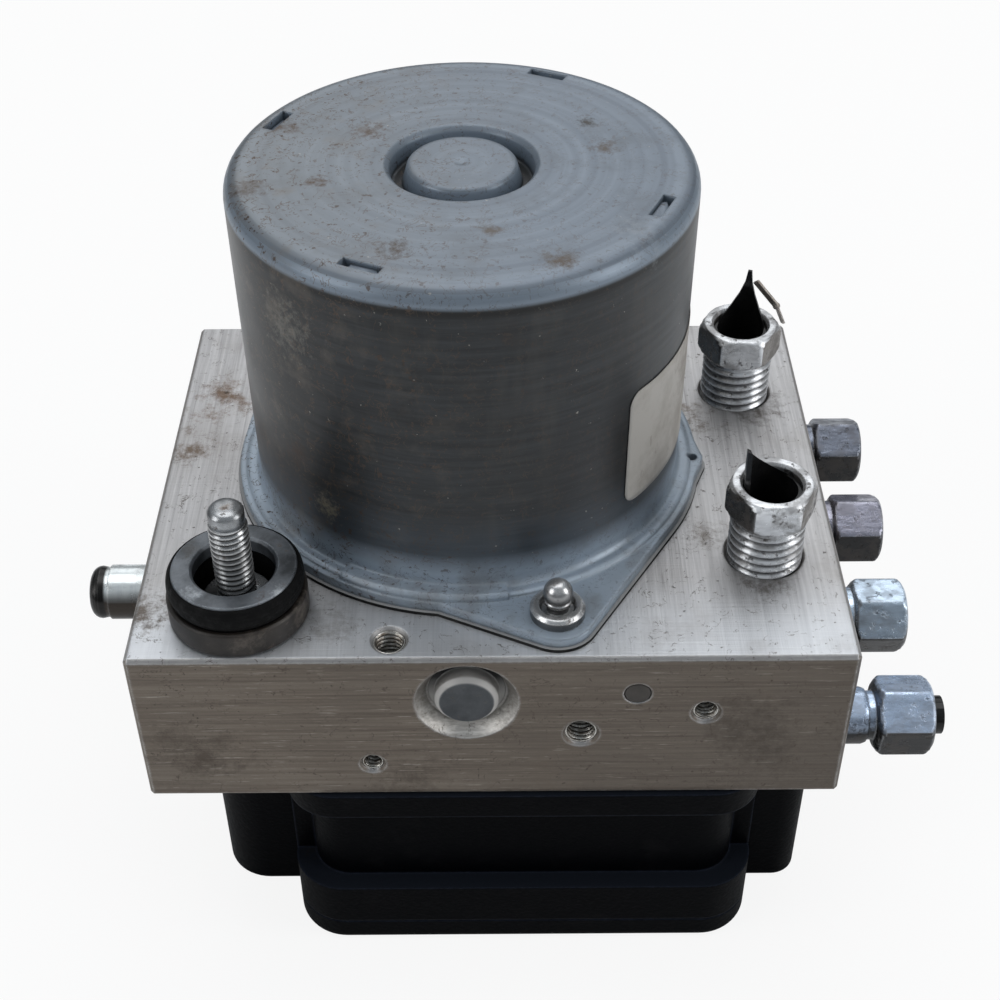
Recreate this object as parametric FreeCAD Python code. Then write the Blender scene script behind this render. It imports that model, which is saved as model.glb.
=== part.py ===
import FreeCAD, Part
import math
import os

# An anti-lock brake module: an aluminium valve block with the pump motor on top and
# the control unit underneath. Millimetres. The origin lies on the underside of the
# control unit's cover, on the block's two centre planes. +X points to the wheel line
# nuts, -Y to the face with the pump plug, +Z along the motor axis.

# How far a cutting shape runs past the face that it opens
OVERRUN = 1.0

# How near a corner or an edge must lie to the level or place by which it is picked
LEVEL_MARGIN = 0.01

# Valve block
BLOCK_WIDTH = 110.0
BLOCK_DEPTH = 87.7
BLOCK_HEIGHT = 30.7
BLOCK_BEVEL = 0.6

# Control unit housing and cover
COVER_THICKNESS = 5.1
COVER_FOOT_RADIUS = 1.6
COVER_HOLLOW = 2.0
HOUSING_HEIGHT = 33.2
SEAM_GAP = 0.2
NARROW_LEFT = -34.3
NARROW_RIGHT = 44.0
NARROW_FRONT_PROUD = 0.6
NARROW_BACK = 40.0
NARROW_CORNER = 8.5
WIDE_LEFT = -48.6
WIDE_RIGHT = 54.2
WIDE_FRONT_SETBACK = 13.0
WIDE_BACK = 43.0
WIDE_FOOT_LIFT = 0.6
WIDE_LEFT_CORNER = 8.0
WIDE_RIGHT_CORNER = 4.5
RIM_HEIGHT = 9.2
FLANGE_DEPTH = 5.1
GROOVE_INSET = 3.3
GROOVE_CORNER = 6.5
GROOVE_REACH = 9.0
HOUSING_WALL = 2.4
HOUSING_ROOF = 3.0
HOUSING_INNER_CORNER = 2.0
CAVITY_CORNER = 4.0
CAVITY_STEP = 1.0
WING_SETBACK = 2.0
WING_FLOOR = 4.0

# Connector on the back of the control unit
CONNECTOR_X = -8.0
CONNECTOR_WIDTH = 46.0
CONNECTOR_HEIGHT = 19.0
CONNECTOR_REACH = 18.0
CONNECTOR_LIFT = 11.0
CONNECTOR_WALL = 2.0
CONNECTOR_CORNER = 3.0
CONNECTOR_FLOOR = 2.5
PIN_WIDTH = 1.0
PIN_LENGTH = 11.0
PIN_PITCH = 3.6
PIN_COLUMNS = 11
PIN_ROWS = 2
PIN_ROW_PITCH = 6.4

# Circuit board, its seal and the screws that hold the unit to the block
BOARD_THICKNESS = 1.6
BOARD_MARGIN = 0.5
BOARD_SEAT_GAP = 0.1
BOARD_SHELF_HEIGHT = 2.0
SEAL_WIDTH = 1.6
SEAL_HEIGHT = 1.2
SEAL_INSET = 1.6
SEAL_SIDE_GAP = 0.05
UNIT_SCREW_RADIUS = 2.0
UNIT_SCREW_HEAD_RADIUS = 3.6
UNIT_SCREW_HEAD_HEIGHT = 2.4
UNIT_SCREW_DEPTH = 8.0
UNIT_SCREW_TOWER = 5.2
UNIT_SCREW_SEAT_DEPTH = 6.0
UNIT_SCREW_SOCKET = 3.0
UNIT_SCREW_SOCKET_DEPTH = 1.4
UNIT_SCREW_HEAD_GAP = 0.4
UNIT_SCREW_SITES = ((-42.2, -22.0), (-42.2, 36.0), (48.0, -22.5), (48.0, 20.0))

# Pump motor
MOTOR_X = -4.0
MOTOR_Y = 4.0
MOTOR_RADIUS = 35.0
MOTOR_FLARE = 0.5
MOTOR_HEIGHT = 56.3
MOTOR_WALL = 1.8
MOTOR_RIM = 2.8
MOTOR_FOOT = 1.8
CAN_INNER_BEVEL = 1.0
BOSS_RADIUS = 8.4
BOSS_MOAT_RADIUS = 11.7
BOSS_MOAT_DEPTH = 3.4
BOSS_MOAT_LEAN = 0.7
BOSS_MOAT_DRAFT = 0.42
BOSS_EDGE = 1.0
BOSS_DIMPLE_RADIUS = 1.3
BOSS_DIMPLE_DEPTH = 0.4
SLOT_LENGTH = 6.2
SLOT_WIDTH = 1.9
SLOT_INSET = 3.4
SLOT_START_ANGLE = -25.0
SLOT_COUNT = 4
FLANGE_WIDTH = 3.4
FLANGE_THICKNESS = 1.6
FLANGE_HEM = 2.0
WALL_OVERLAP = 0.5
FLANGE_BEAD_WIDTH = 2.4
FLANGE_BEAD_HEIGHT = 0.5
FLANGE_BEAD_BEVEL = 0.6
FLANGE_STEP_WIDTH = 3.0
FLANGE_STEP_HEIGHT = 1.1
FLANGE_STEP_ANGLES = (-121.0, -80.0)
GASKET_THICKNESS = 0.6
GASKET_STEP = 0.5
EAR_ANGLES = (-71.0, 49.0, 135.0)
EAR_REACH = 7.6
EAR_RADIUS = 5.8
EAR_ROOT_WIDTH = 1.3
TAB_ANGLE = -4.5
TAB_REACH = 2.7
TAB_RADIUS = 1.8
TAB_HOLE_RADIUS = 0.9

# Ball headed screw in each ear, with its collar
EAR_SCREW_RADIUS = 2.5
EAR_SCREW_DEPTH = 9.0
EAR_SCREW_NECK = 1.7
EAR_SCREW_BALL = 2.25
EAR_SCREW_BALL_HEIGHT = 4.6
EAR_SCREW_SOCKET = 2.9
EAR_SCREW_SOCKET_DEPTH = 0.9
EAR_SCREW_RIDGE = 0.35
EAR_SCREW_RIDGE_LOW = 0.5
EAR_SCREW_RIDGE_HIGH = 1.0
SCREW_HOLE_GAP = 0.3
COLLAR_GAP = 0.05
COLLAR_RADIUS = 4.2
COLLAR_HEIGHT = 1.9
COLLAR_BEVEL = 0.5

# Motor internals
MAGNET_THICKNESS = 6.6
MAGNET_HEIGHT = 34.0
MAGNET_SPAN = 140.0
MAGNET_SEAT_GAP = 0.1
AIR_GAP = 0.8
CORE_HEIGHT = 26.0
CORE_LIFT = 15.5
CORE_SLOTS = 10
CORE_SLOT_WIDTH = 3.6
CORE_SLOT_DEPTH = 11.0
CORE_SLOT_MOUTH = 1.6
CORE_TOOTH_TIP = 1.5
WINDING_OVERHANG = 3.4
WINDING_INSET = 3.7
WINDING_INNER = 11.2
WINDING_CLEARANCE = 0.15
WINDING_BEVEL = 1.0
WINDING_SINK = 0.65
COMMUTATOR_RADIUS = 9.5
COMMUTATOR_HEIGHT = 7.0
COMMUTATOR_LIFT = 4.4
COMMUTATOR_SLIT = 0.5
COMMUTATOR_SLIT_DEPTH = 1.6
SHAFT_RADIUS = 4.0
SHAFT_TOP_RADIUS = 3.0
SHAFT_PILOT_RADIUS = 2.6
RUNNING_GAP = 0.04
FIXED_GAP = 0.02
BRUSH_WIDTH = 6.0
BRUSH_HEIGHT = 5.0
BRUSH_LENGTH = 10.0
BRUSH_GAP = 0.1
BRUSH_HOLLOW = 1.5
BRUSH_BOX_WALL = 1.2
BRUSH_BOX_SETBACK = 1.4
BRUSH_BOX_END = 0.2
BRUSH_SIDE_GAP = 0.1
BRUSH_SPRING_LENGTH = 6.5
BRUSH_SPRING_WIRE = 0.5
BRUSH_SPRING_CLEARANCE = 0.3
BRUSH_SPRING_TURNS = 3
SPRING_END_GAP = 0.1
PLATE_MARGIN = 1.7
PLATE_THICKNESS = 3.0
PLATE_HOLE_RADIUS = 10.5
TERMINAL_X = 10.5
TERMINAL_Y = 15.0
TERMINAL_TOWER_RADIUS = 3.5
TERMINAL_PIN_SIDE = 1.2
TERMINAL_PIN_SPREAD = 3.0
TERMINAL_PIN_REACH = 9.0
TERMINAL_PIN_PROUD = 3.0
TERMINAL_TOWER_PROUD = 1.5

# Eccentric drive and pumps
PUMP_HEIGHT = 21.3
CHAMBER_RADIUS = 11.0
CHAMBER_FLOOR = 14.6
ECCENTRICITY = 1.2
ECCENTRIC_RADIUS = 6.4
ECCENTRIC_RING_WALL = 2.4
ECCENTRIC_HEIGHT = 6.4
MAIN_BEARING_HEIGHT = 5.6
PILOT_BEARING_WALL = 1.8
PILOT_BEARING_HEIGHT = 4.4
TOP_BEARING_HEIGHT = 5.0
BEARING_END_GAP = 0.3
PISTON_RADIUS = 3.0
PISTON_LENGTH = 16.0
PISTON_NOSE_GAP = 0.15
PISTON_COLLAR_RADIUS = 4.6
PISTON_COLLAR_HEIGHT = 1.3
PISTON_NOSE_BEVEL = 0.8
PISTON_END_GAP = 0.3
PISTON_WELL_RADIUS = 1.4
PISTON_WELL_DEPTH = 2.7
PUMP_SPRING_RADIUS = 4.6
PUMP_SPRING_LENGTH = 8.0
PUMP_SPRING_TURNS = 4
PUMP_SPRING_WIRE = 0.7
PUMP_BORE_RADIUS = 6.0
PUMP_GUIDE_WALL = 5.5
PUMP_GUIDE_OVERLAP = 2.0
PLUG_FACE_RADIUS = 4.1
PLUG_HEAD_RADIUS = 4.9
PLUG_SEAT_RADIUS = 6.3
PLUG_SINK_RADIUS = 8.0
PLUG_SINK_DEPTH = 2.2
PLUG_STEP_DEPTH = 2.8
PLUG_SPIGOT_RADIUS = 3.2
PLUG_SPIGOT_DEPTH = 1.5

# Low pressure accumulators, opened from the control unit's side
ACCUMULATOR_SITES = ((-29.0, 3.0), (21.5, 3.0))
ACCUMULATOR_RADIUS = 8.5
ACCUMULATOR_DEPTH = 16.0
ACCUMULATOR_PISTON_HEIGHT = 5.0
ACCUMULATOR_TOP_GAP = 0.5
ACCUMULATOR_CAP_HEIGHT = 2.0
ACCUMULATOR_VENT_RADIUS = 1.0
ACCUMULATOR_HOLLOW = 2.4
ACCUMULATOR_SKIRT = 1.6
ACCUMULATOR_GROOVE_DEPTH = 0.8
ACCUMULATOR_GROOVE_LIFT = 1.2
ACCUMULATOR_GROOVE_WIDTH = 1.6
ACCUMULATOR_PISTON_BEVEL = 0.6
ACCUMULATOR_SPRING_RADIUS = 5.2
ACCUMULATOR_SPRING_TURNS = 3
ACCUMULATOR_SPRING_WIRE = 0.8

# Eight solenoid valves in two rows, with their coils in the control unit
VALVE_COLUMNS = (-21.0, -5.5, 10.0, 25.5)
VALVE_ROWS = (-27.0, 29.5)
VALVE_BODY_RADIUS = 5.5
VALVE_BODY_DEPTH = 12.0
VALVE_TUBE_RADIUS = 3.2
VALVE_TUBE_WALL = 0.6
VALVE_TUBE_REACH = 18.0
VALVE_STROKE = 0.4
VALVE_ARMATURE_LENGTH = 9.0
VALVE_NEEDLE_RADIUS = 0.9
VALVE_SEAT_RADIUS = 0.6
VALVE_SEAT_MOUTH = 1.56
VALVE_SEAT_DEPTH = 1.0
VALVE_TUBE_BEVEL = 0.6
VALVE_END_GAP = 0.3
VALVE_TIP_RADIUS = 0.3
VALVE_TIP_LENGTH = 0.8
VALVE_TIP_GAP = 0.15
VALVE_ARMATURE_BEVEL = 0.4
VALVE_SPRING_WIRE = 0.56
VALVE_SPRING_CLEARANCE = 0.25
VALVE_SPRING_TURNS = 2
COIL_RADIUS = 7.4
COIL_HEIGHT = 16.0
COIL_GAP = 0.15
COIL_FLANGE = 1.5
COIL_WAIST = 0.5

# Wheel line ports and their nuts on the right face
WHEEL_PORT_HEIGHT = 10.5
WHEEL_PORT_PITCH = 22.6
WHEEL_PORT_FIRST_Y = -37.0
WHEEL_PORT_COUNT = 4
WHEEL_THREAD_RADIUS = 5.0
WHEEL_PORT_DEPTH = 13.0
WHEEL_NUT_FLATS = 11.0
WHEEL_NUT_HEX_LENGTH = 8.7
WHEEL_NUT_STANDOFF = 5.5
WHEEL_NUT_THREAD_IN = 10.0
WHEEL_NUT_BORE = 2.5
WHEEL_NUT_RELIEF_DEPTH = 0.6
WHEEL_NUT_RELIEF_WIDTH = 1.2
WHEEL_NUT_ROTATIONS = (10.0, 25.0, 2.0, 3.0)
WHEEL_STUB_RADIUS = 2.4
WHEEL_STUB_WALL = 0.7
WHEEL_STUB_PROUD = 2.0
WHEEL_STUB_LIP = 0.65
WHEEL_STUB_LIP_GAP = 0.1

# Inlet ports and their nuts on the top face
INLET_SITES = ((43.2, -20.5), (43.3, 22.9))
INLET_THREAD_RADIUS = 6.0
INLET_PORT_DEPTH = 12.0
INLET_NUT_FLATS = 12.5
INLET_NUT_HEX_BOTTOM = 8.6
INLET_NUT_HEX_TOP = 14.4
INLET_NUT_THREAD_IN = 9.0
INLET_NUT_BORE = 4.6
INLET_NUT_MOUTH = 4.95
INLET_NUT_MOUTH_DEPTH = 0.8
INLET_NUT_ROTATIONS = (2.0, -4.0)
THREAD_CREST_GAP = 0.05
INLET_STUB_RADIUS = 4.5
INLET_STUB_WALL = 0.5
STUB_TIP_WIDTH = 0.7
STUB_FOOT_SINK = 1.2
STUB_EDGE_STEPS = 4
FRONT_STUB_PEAK = 20.8
FRONT_STUB_FEET = (-4.4, 3.6)
FRONT_STUB_TIP = 3.0
FRONT_STUB_HOLLOWS = (1.05, 1.5)
FRONT_STUB_ANGLE = 140.0
BACK_STUB_PEAK = 22.5
BACK_STUB_FEET = (-4.0, 4.0)
BACK_STUB_TIP = -0.3
BACK_STUB_HOLLOWS = (1.8, 1.8)
BACK_STUB_ANGLE = 75.0
SLIVER_WIDTH = 1.3
SLIVER_THICKNESS = 0.4
SLIVER_BENDS = ((2.2, 2.0, 7.2), (5.9, 0.4, 3.2), (7.2, -0.6, 0.35))

# Rubber mount on the top face
DAMPER_ANGLE = -133.4
DAMPER_CLEARANCE = 1.4
DAMPER_CUP_RADIUS = 10.7
DAMPER_CUP_HEIGHT = 4.6
DAMPER_CUP_WALL = 0.9
DAMPER_CUP_BEVEL = 0.5
DAMPER_RUBBER_RADIUS = 10.4
DAMPER_RUBBER_TOP = 8.8
DAMPER_RUBBER_GAP = 0.1
DAMPER_RUBBER_HOLE = 6.6
DAMPER_RUBBER_BULGE = 1.0
DAMPER_RING_RADIUS = 9.5
DAMPER_RING_HOLE = 6.3
DAMPER_RING_THICKNESS = 0.8
DAMPER_RING_SINK = 0.6
DAMPER_RING_BEVEL = 0.2
DAMPER_RING_SKIRT = 1.6
DAMPER_RING_SKIRT_WALL = 0.25
DAMPER_RING_MOUTH = 0.4
DAMPER_STUD_RADIUS = 3.0
DAMPER_STUD_TOP = 20.8
DAMPER_STUD_IN = 8.0
DAMPER_STUD_COLLAR_RADIUS = 5.4
DAMPER_STUD_COLLAR_HEIGHT = 2.6
DAMPER_STUD_COLLAR_BEVEL = 0.5
STUD_CHAMFER = 0.7

# Locating pin on the left face
LOCATOR_Y = -16.6
LOCATOR_HEIGHT = 19.3
LOCATOR_RADIUS = 4.5
LOCATOR_LENGTH = 11.0
LOCATOR_ROOT_RADIUS = 3.2
LOCATOR_ROOT_LENGTH = 8.0
LOCATOR_HOLE_TAIL = 0.5
LOCATOR_NOSE = 1.6
LOCATOR_TIP_STEP = 0.15
LOCATOR_GROOVE_OFFSET = 2.6
LOCATOR_GROOVE_WIDTH = 0.6
LOCATOR_GROOVE_DEPTH = 0.35

# Threaded fixing holes: x, height over the block's underside, radius, depth
FRONT_HOLES = ((-19.0, 7.4, 1.7, 8.0), (13.6, 14.2, 2.5, 9.0), (32.6, 18.8, 2.0, 9.0))
TOP_HOLE_X = -15.5
TOP_HOLE_Y = -39.6
TOP_HOLE_RADIUS = 2.5
TOP_HOLE_DEPTH = 9.0
HOLE_CHAMFER = 0.45
HOLE_TAIL = 1.0
HOLE_POINT = 0.5
BALL_PLUG_X = 21.95
BALL_PLUG_HEIGHT = 23.1
BALL_PLUG_RADIUS = 2.1
BALL_PLUG_SINK = 0.9
GALLERY_RADIUS = 1.7
GALLERY_LENGTH = 22.0
PASSAGE_RADIUS = 1.2
INLET_PASSAGE_OFFSET = 3.0

# Levels and places worked out from the sizes above
BLOCK_BOTTOM = COVER_THICKNESS + HOUSING_HEIGHT
BLOCK_TOP = BLOCK_BOTTOM + BLOCK_HEIGHT
LEFT_FACE = -BLOCK_WIDTH / 2
RIGHT_FACE = BLOCK_WIDTH / 2
FRONT_FACE = -BLOCK_DEPTH / 2
BACK_FACE = BLOCK_DEPTH / 2
PUMP_Z = BLOCK_BOTTOM + PUMP_HEIGHT
NARROW_FRONT = FRONT_FACE - NARROW_FRONT_PROUD
WIDE_FRONT = NARROW_FRONT + WIDE_FRONT_SETBACK
RING_RADIUS = ECCENTRIC_RADIUS + RUNNING_GAP + ECCENTRIC_RING_WALL
PISTON_START = RING_RADIUS + ECCENTRICITY + PISTON_NOSE_GAP
PISTON_END = PISTON_START + PISTON_LENGTH
CAN_BOTTOM = BLOCK_TOP + GASKET_THICKNESS
CAN_TOP = BLOCK_TOP + MOTOR_HEIGHT
CAN_INNER = MOTOR_RADIUS - MOTOR_WALL
SLOT_DISTANCE = MOTOR_RADIUS - SLOT_INSET
FLANGE_RADIUS = MOTOR_RADIUS + FLANGE_WIDTH
FLANGE_BEAD_RADIUS = MOTOR_RADIUS + FLANGE_BEAD_WIDTH
EAR_DISTANCE = MOTOR_RADIUS + EAR_REACH
TAB_DISTANCE = MOTOR_RADIUS + TAB_REACH
PLATE_RADIUS = CAN_INNER - PLATE_MARGIN
DAMPER_DISTANCE = FLANGE_RADIUS + DAMPER_CLEARANCE + DAMPER_CUP_RADIUS
DAMPER_X = MOTOR_X + DAMPER_DISTANCE * math.cos(math.radians(DAMPER_ANGLE))
DAMPER_Y = MOTOR_Y + DAMPER_DISTANCE * math.sin(math.radians(DAMPER_ANGLE))
MAGNET_OUTER = CAN_INNER - MAGNET_SEAT_GAP
MAGNET_INNER = MAGNET_OUTER - MAGNET_THICKNESS
CORE_RADIUS = MAGNET_INNER - AIR_GAP
WINDING_OUTER = CORE_RADIUS - WINDING_INSET
CORE_BOTTOM = BLOCK_TOP + CORE_LIFT
CORE_TOP = CORE_BOTTOM + CORE_HEIGHT
WHEEL_PORT_Y = [WHEEL_PORT_FIRST_Y + WHEEL_PORT_PITCH * i for i in range(WHEEL_PORT_COUNT)]
WHEEL_PORT_Z = BLOCK_BOTTOM + WHEEL_PORT_HEIGHT
WHEEL_NUT_LENGTH = WHEEL_NUT_THREAD_IN + WHEEL_NUT_STANDOFF + WHEEL_NUT_HEX_LENGTH
X_AXIS = FreeCAD.Vector(1, 0, 0)
Y_AXIS = FreeCAD.Vector(0, 1, 0)
Z_AXIS = FreeCAD.Vector(0, 0, 1)


def vec(x, y, z):
    return FreeCAD.Vector(x, y, z)


def rod(radius, length, start, direction=Z_AXIS):
    return Part.makeCylinder(radius, length, start, direction)


def upright(radius, low, high, x=0.0, y=0.0):
    return rod(radius, high - low, vec(x, y, low))


def cone(first, last, length, start, direction=Z_AXIS):
    return Part.makeCone(first, last, length, start, direction)


def box(low, high):
    size = [b - a for a, b in zip(low, high)]
    return Part.makeBox(size[0], size[1], size[2], vec(*low))


def union(shapes):
    return shapes[0].multiFuse(shapes[1:]).removeSplitter()


def turned(profile, x, y):
    # A body of revolution about the vertical through x, y from points of radius and height
    points = [vec(radius, 0, z) for radius, z in profile]
    face = Part.Face(Part.makePolygon(points + points[:1]))
    body = face.revolve(vec(0, 0, 0), Z_AXIS, 360)
    body.translate(vec(x, y, 0))
    return body


def aimed(body, start, direction):
    # Lays a body that was built up along +Z so that it leaves start along direction
    placed = body.copy()
    placed.Placement = FreeCAD.Placement(start, FreeCAD.Rotation(Z_AXIS, direction))
    return placed


def hexagon(flats, low, high, rotation):
    corner = flats / math.sqrt(3)
    angles = [math.radians(rotation + 60 * i) for i in range(6)]
    points = [vec(corner * math.cos(a), corner * math.sin(a), low) for a in angles]
    face = Part.Face(Part.makePolygon(points + points[:1]))
    return face.extrude(vec(0, 0, high - low))


def bevelled_hexagon(flats, low, high, rotation):
    # The bar's corners are turned off at both ends, as on a machined nut
    corner = flats / math.sqrt(3)
    land = flats / 2 * 0.97
    rise = (corner - land) * 0.55
    profile = [(0, low), (land, low), (corner, low + rise), (corner, high - rise), (land, high), (0, high)]
    return hexagon(flats, low, high, rotation).common(turned(profile, 0, 0))


def rounded_plate(left, right, front, back, low, high, corners):
    # corners: radii of front left, front right, back right and back left
    body = box((left, front, low), (right, back, high))
    places = ((left, front), (right, front), (right, back), (left, back))
    for (x, y), radius in zip(places, corners):
        if radius <= 0:
            continue
        for edge in body.Edges:
            offsets = [max(abs(v.X - x), abs(v.Y - y)) for v in edge.Vertexes]
            if len(offsets) == 2 and max(offsets) < LEVEL_MARGIN:
                body = body.makeFillet(radius, [edge])
                break
    return body


def spring(radius, wire, length, turns, start, direction):
    # A coil spring of square wire: radius is that of the coil's outside
    inner = radius - wire
    pitch = (length - wire) / turns
    path = Part.makeHelix(pitch, pitch * turns, radius - wire / 2)
    section = Part.makePolygon([vec(inner, 0, 0), vec(radius, 0, 0), vec(radius, 0, wire),
                                vec(inner, 0, wire), vec(inner, 0, 0)])
    coil = Part.Wire(path.Edges).makePipeShell([section], True, True)
    return aimed(coil, start, direction)


def motor_point(distance, angle, z):
    a = math.radians(angle)
    return vec(MOTOR_X + distance * math.cos(a), MOTOR_Y + distance * math.sin(a), z)



def threaded_hole(radius, depth, mouth, inward):
    # Drilled and tapped: a plain wall at the thread's size with a chamfered mouth
    return union([rod(radius, depth, mouth, inward),
                  cone(radius + HOLE_CHAMFER, radius, HOLE_CHAMFER, mouth, inward),
                  cone(radius, 0.0, radius * HOLE_POINT, mouth + inward * depth, inward)])


def drilling(start, end):
    return rod(PASSAGE_RADIUS, (end - start).Length, start, end - start)


def pump_direction(side):
    return Y_AXIS * side


def pump_origin():
    return vec(MOTOR_X, MOTOR_Y, PUMP_Z)


def face_distance(side):
    # From the motor axis to the front face (side -1) or the back face (side 1)
    return BLOCK_DEPTH / 2 + side * -MOTOR_Y


def valve_sites():
    return [(x, y) for y in VALVE_ROWS for x in VALVE_COLUMNS]


def terminal_pin_places():
    return [TERMINAL_X - TERMINAL_PIN_SPREAD / 2, TERMINAL_X + TERMINAL_PIN_SPREAD / 2]


def block_motor_cuts():
    bearing_floor = BLOCK_TOP - MAIN_BEARING_HEIGHT
    floor = BLOCK_BOTTOM + CHAMBER_FLOOR
    pilot = SHAFT_PILOT_RADIUS + RUNNING_GAP + PILOT_BEARING_WALL + FIXED_GAP
    cuts = [upright(CHAMBER_RADIUS, floor, bearing_floor, MOTOR_X, MOTOR_Y),
            upright(CHAMBER_RADIUS + FIXED_GAP, bearing_floor, BLOCK_TOP + OVERRUN, MOTOR_X, MOTOR_Y),
            upright(pilot, floor - PILOT_BEARING_HEIGHT, floor, MOTOR_X, MOTOR_Y),
            upright(TERMINAL_TOWER_RADIUS + COIL_GAP, BLOCK_BOTTOM - OVERRUN, BLOCK_TOP + OVERRUN,
                    TERMINAL_X, TERMINAL_Y)]
    depth = EAR_SCREW_DEPTH + HOLE_TAIL
    for angle in EAR_ANGLES:
        mouth = motor_point(EAR_DISTANCE, angle, BLOCK_TOP)
        cuts.append(threaded_hole(EAR_SCREW_RADIUS + THREAD_CREST_GAP, depth, mouth, -Z_AXIS))
    return cuts


def block_pump_cuts():
    cuts = []
    for side in (-1, 1):
        out = pump_direction(side)
        face = pump_origin() + out * face_distance(side)
        guide_start = CHAMBER_RADIUS - PUMP_GUIDE_OVERLAP
        guide_end = PISTON_START + PUMP_GUIDE_WALL
        length = face_distance(side) - guide_end
        cuts += [rod(PISTON_RADIUS + RUNNING_GAP, guide_end - guide_start + PUMP_GUIDE_OVERLAP,
                     pump_origin() + out * guide_start, out),
                 rod(PUMP_BORE_RADIUS, length, face, -out),
                 cone(PLUG_SINK_RADIUS, PLUG_SEAT_RADIUS, PLUG_SINK_DEPTH, face, -out),
                 rod(PLUG_SEAT_RADIUS, PLUG_STEP_DEPTH, face, -out)]
    return cuts


def block_port_cuts():
    cuts = []
    for y in WHEEL_PORT_Y:
        mouth = vec(RIGHT_FACE, y, WHEEL_PORT_Z)
        cuts.append(threaded_hole(WHEEL_THREAD_RADIUS + THREAD_CREST_GAP, WHEEL_PORT_DEPTH, mouth, -X_AXIS))
    for x, y in INLET_SITES:
        mouth = vec(x, y, BLOCK_TOP)
        cuts.append(threaded_hole(INLET_THREAD_RADIUS + THREAD_CREST_GAP, INLET_PORT_DEPTH, mouth, -Z_AXIS))
    for x, height, radius, depth in FRONT_HOLES:
        cuts.append(threaded_hole(radius, depth, vec(x, FRONT_FACE, BLOCK_BOTTOM + height), Y_AXIS))
    top = vec(TOP_HOLE_X, TOP_HOLE_Y, BLOCK_TOP)
    cuts.append(threaded_hole(TOP_HOLE_RADIUS, TOP_HOLE_DEPTH, top, -Z_AXIS))
    damper = vec(DAMPER_X, DAMPER_Y, BLOCK_TOP)
    depth = DAMPER_STUD_IN + HOLE_TAIL
    cuts.append(threaded_hole(DAMPER_STUD_RADIUS + THREAD_CREST_GAP, depth, damper, -Z_AXIS))
    locator = vec(LEFT_FACE, LOCATOR_Y, BLOCK_BOTTOM + LOCATOR_HEIGHT)
    depth = LOCATOR_ROOT_LENGTH + LOCATOR_HOLE_TAIL
    cuts.append(rod(LOCATOR_ROOT_RADIUS + FIXED_GAP, depth, locator, X_AXIS))
    return cuts


def block_underside_cuts():
    cuts = []
    under = BLOCK_BOTTOM - OVERRUN
    for x, y in valve_sites():
        cuts.append(upright(VALVE_BODY_RADIUS + FIXED_GAP, under, BLOCK_BOTTOM + VALVE_BODY_DEPTH, x, y))
    for x, y in ACCUMULATOR_SITES:
        cuts.append(upright(ACCUMULATOR_RADIUS, under, BLOCK_BOTTOM + ACCUMULATOR_DEPTH, x, y))
    for x, y in UNIT_SCREW_SITES:
        mouth = vec(x, y, BLOCK_BOTTOM)
        depth = UNIT_SCREW_DEPTH + HOLE_TAIL
        cuts.append(threaded_hole(UNIT_SCREW_RADIUS + THREAD_CREST_GAP, depth, mouth, Z_AXIS))
    return cuts


def block_passages():
    # The ball plugged gallery, and a drilling from each port towards its valve
    gallery = vec(BALL_PLUG_X, FRONT_FACE, BLOCK_BOTTOM + BALL_PLUG_HEIGHT)
    cuts = [rod(GALLERY_RADIUS, GALLERY_LENGTH, gallery, Y_AXIS),
            rod(BALL_PLUG_RADIUS + FIXED_GAP, BALL_PLUG_RADIUS + BALL_PLUG_SINK, gallery, Y_AXIS)]
    for number, y in enumerate(WHEEL_PORT_Y):
        row = VALVE_ROWS[number * len(VALVE_ROWS) // WHEEL_PORT_COUNT]
        cuts.append(drilling(vec(RIGHT_FACE - WHEEL_PORT_DEPTH, y, WHEEL_PORT_Z),
                             vec(VALVE_COLUMNS[-1], row, WHEEL_PORT_Z)))
    for (x, y), row in zip(INLET_SITES, VALVE_ROWS):
        low = BLOCK_BOTTOM + VALVE_BODY_DEPTH / 2
        foot = vec(x - INLET_PASSAGE_OFFSET, y, low)
        cuts.append(drilling(foot, vec(foot.x, y, BLOCK_TOP - INLET_PORT_DEPTH)))
        cuts.append(drilling(foot, vec(VALVE_COLUMNS[-1], row, low)))
    return cuts


def make_hydraulic_block():
    body = box((LEFT_FACE, FRONT_FACE, BLOCK_BOTTOM), (RIGHT_FACE, BACK_FACE, BLOCK_TOP))
    body = body.makeChamfer(BLOCK_BEVEL, body.Edges)
    cuts = block_motor_cuts() + block_pump_cuts() + block_port_cuts()
    cuts += block_underside_cuts() + block_passages()
    return body.cut(cuts)


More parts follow.
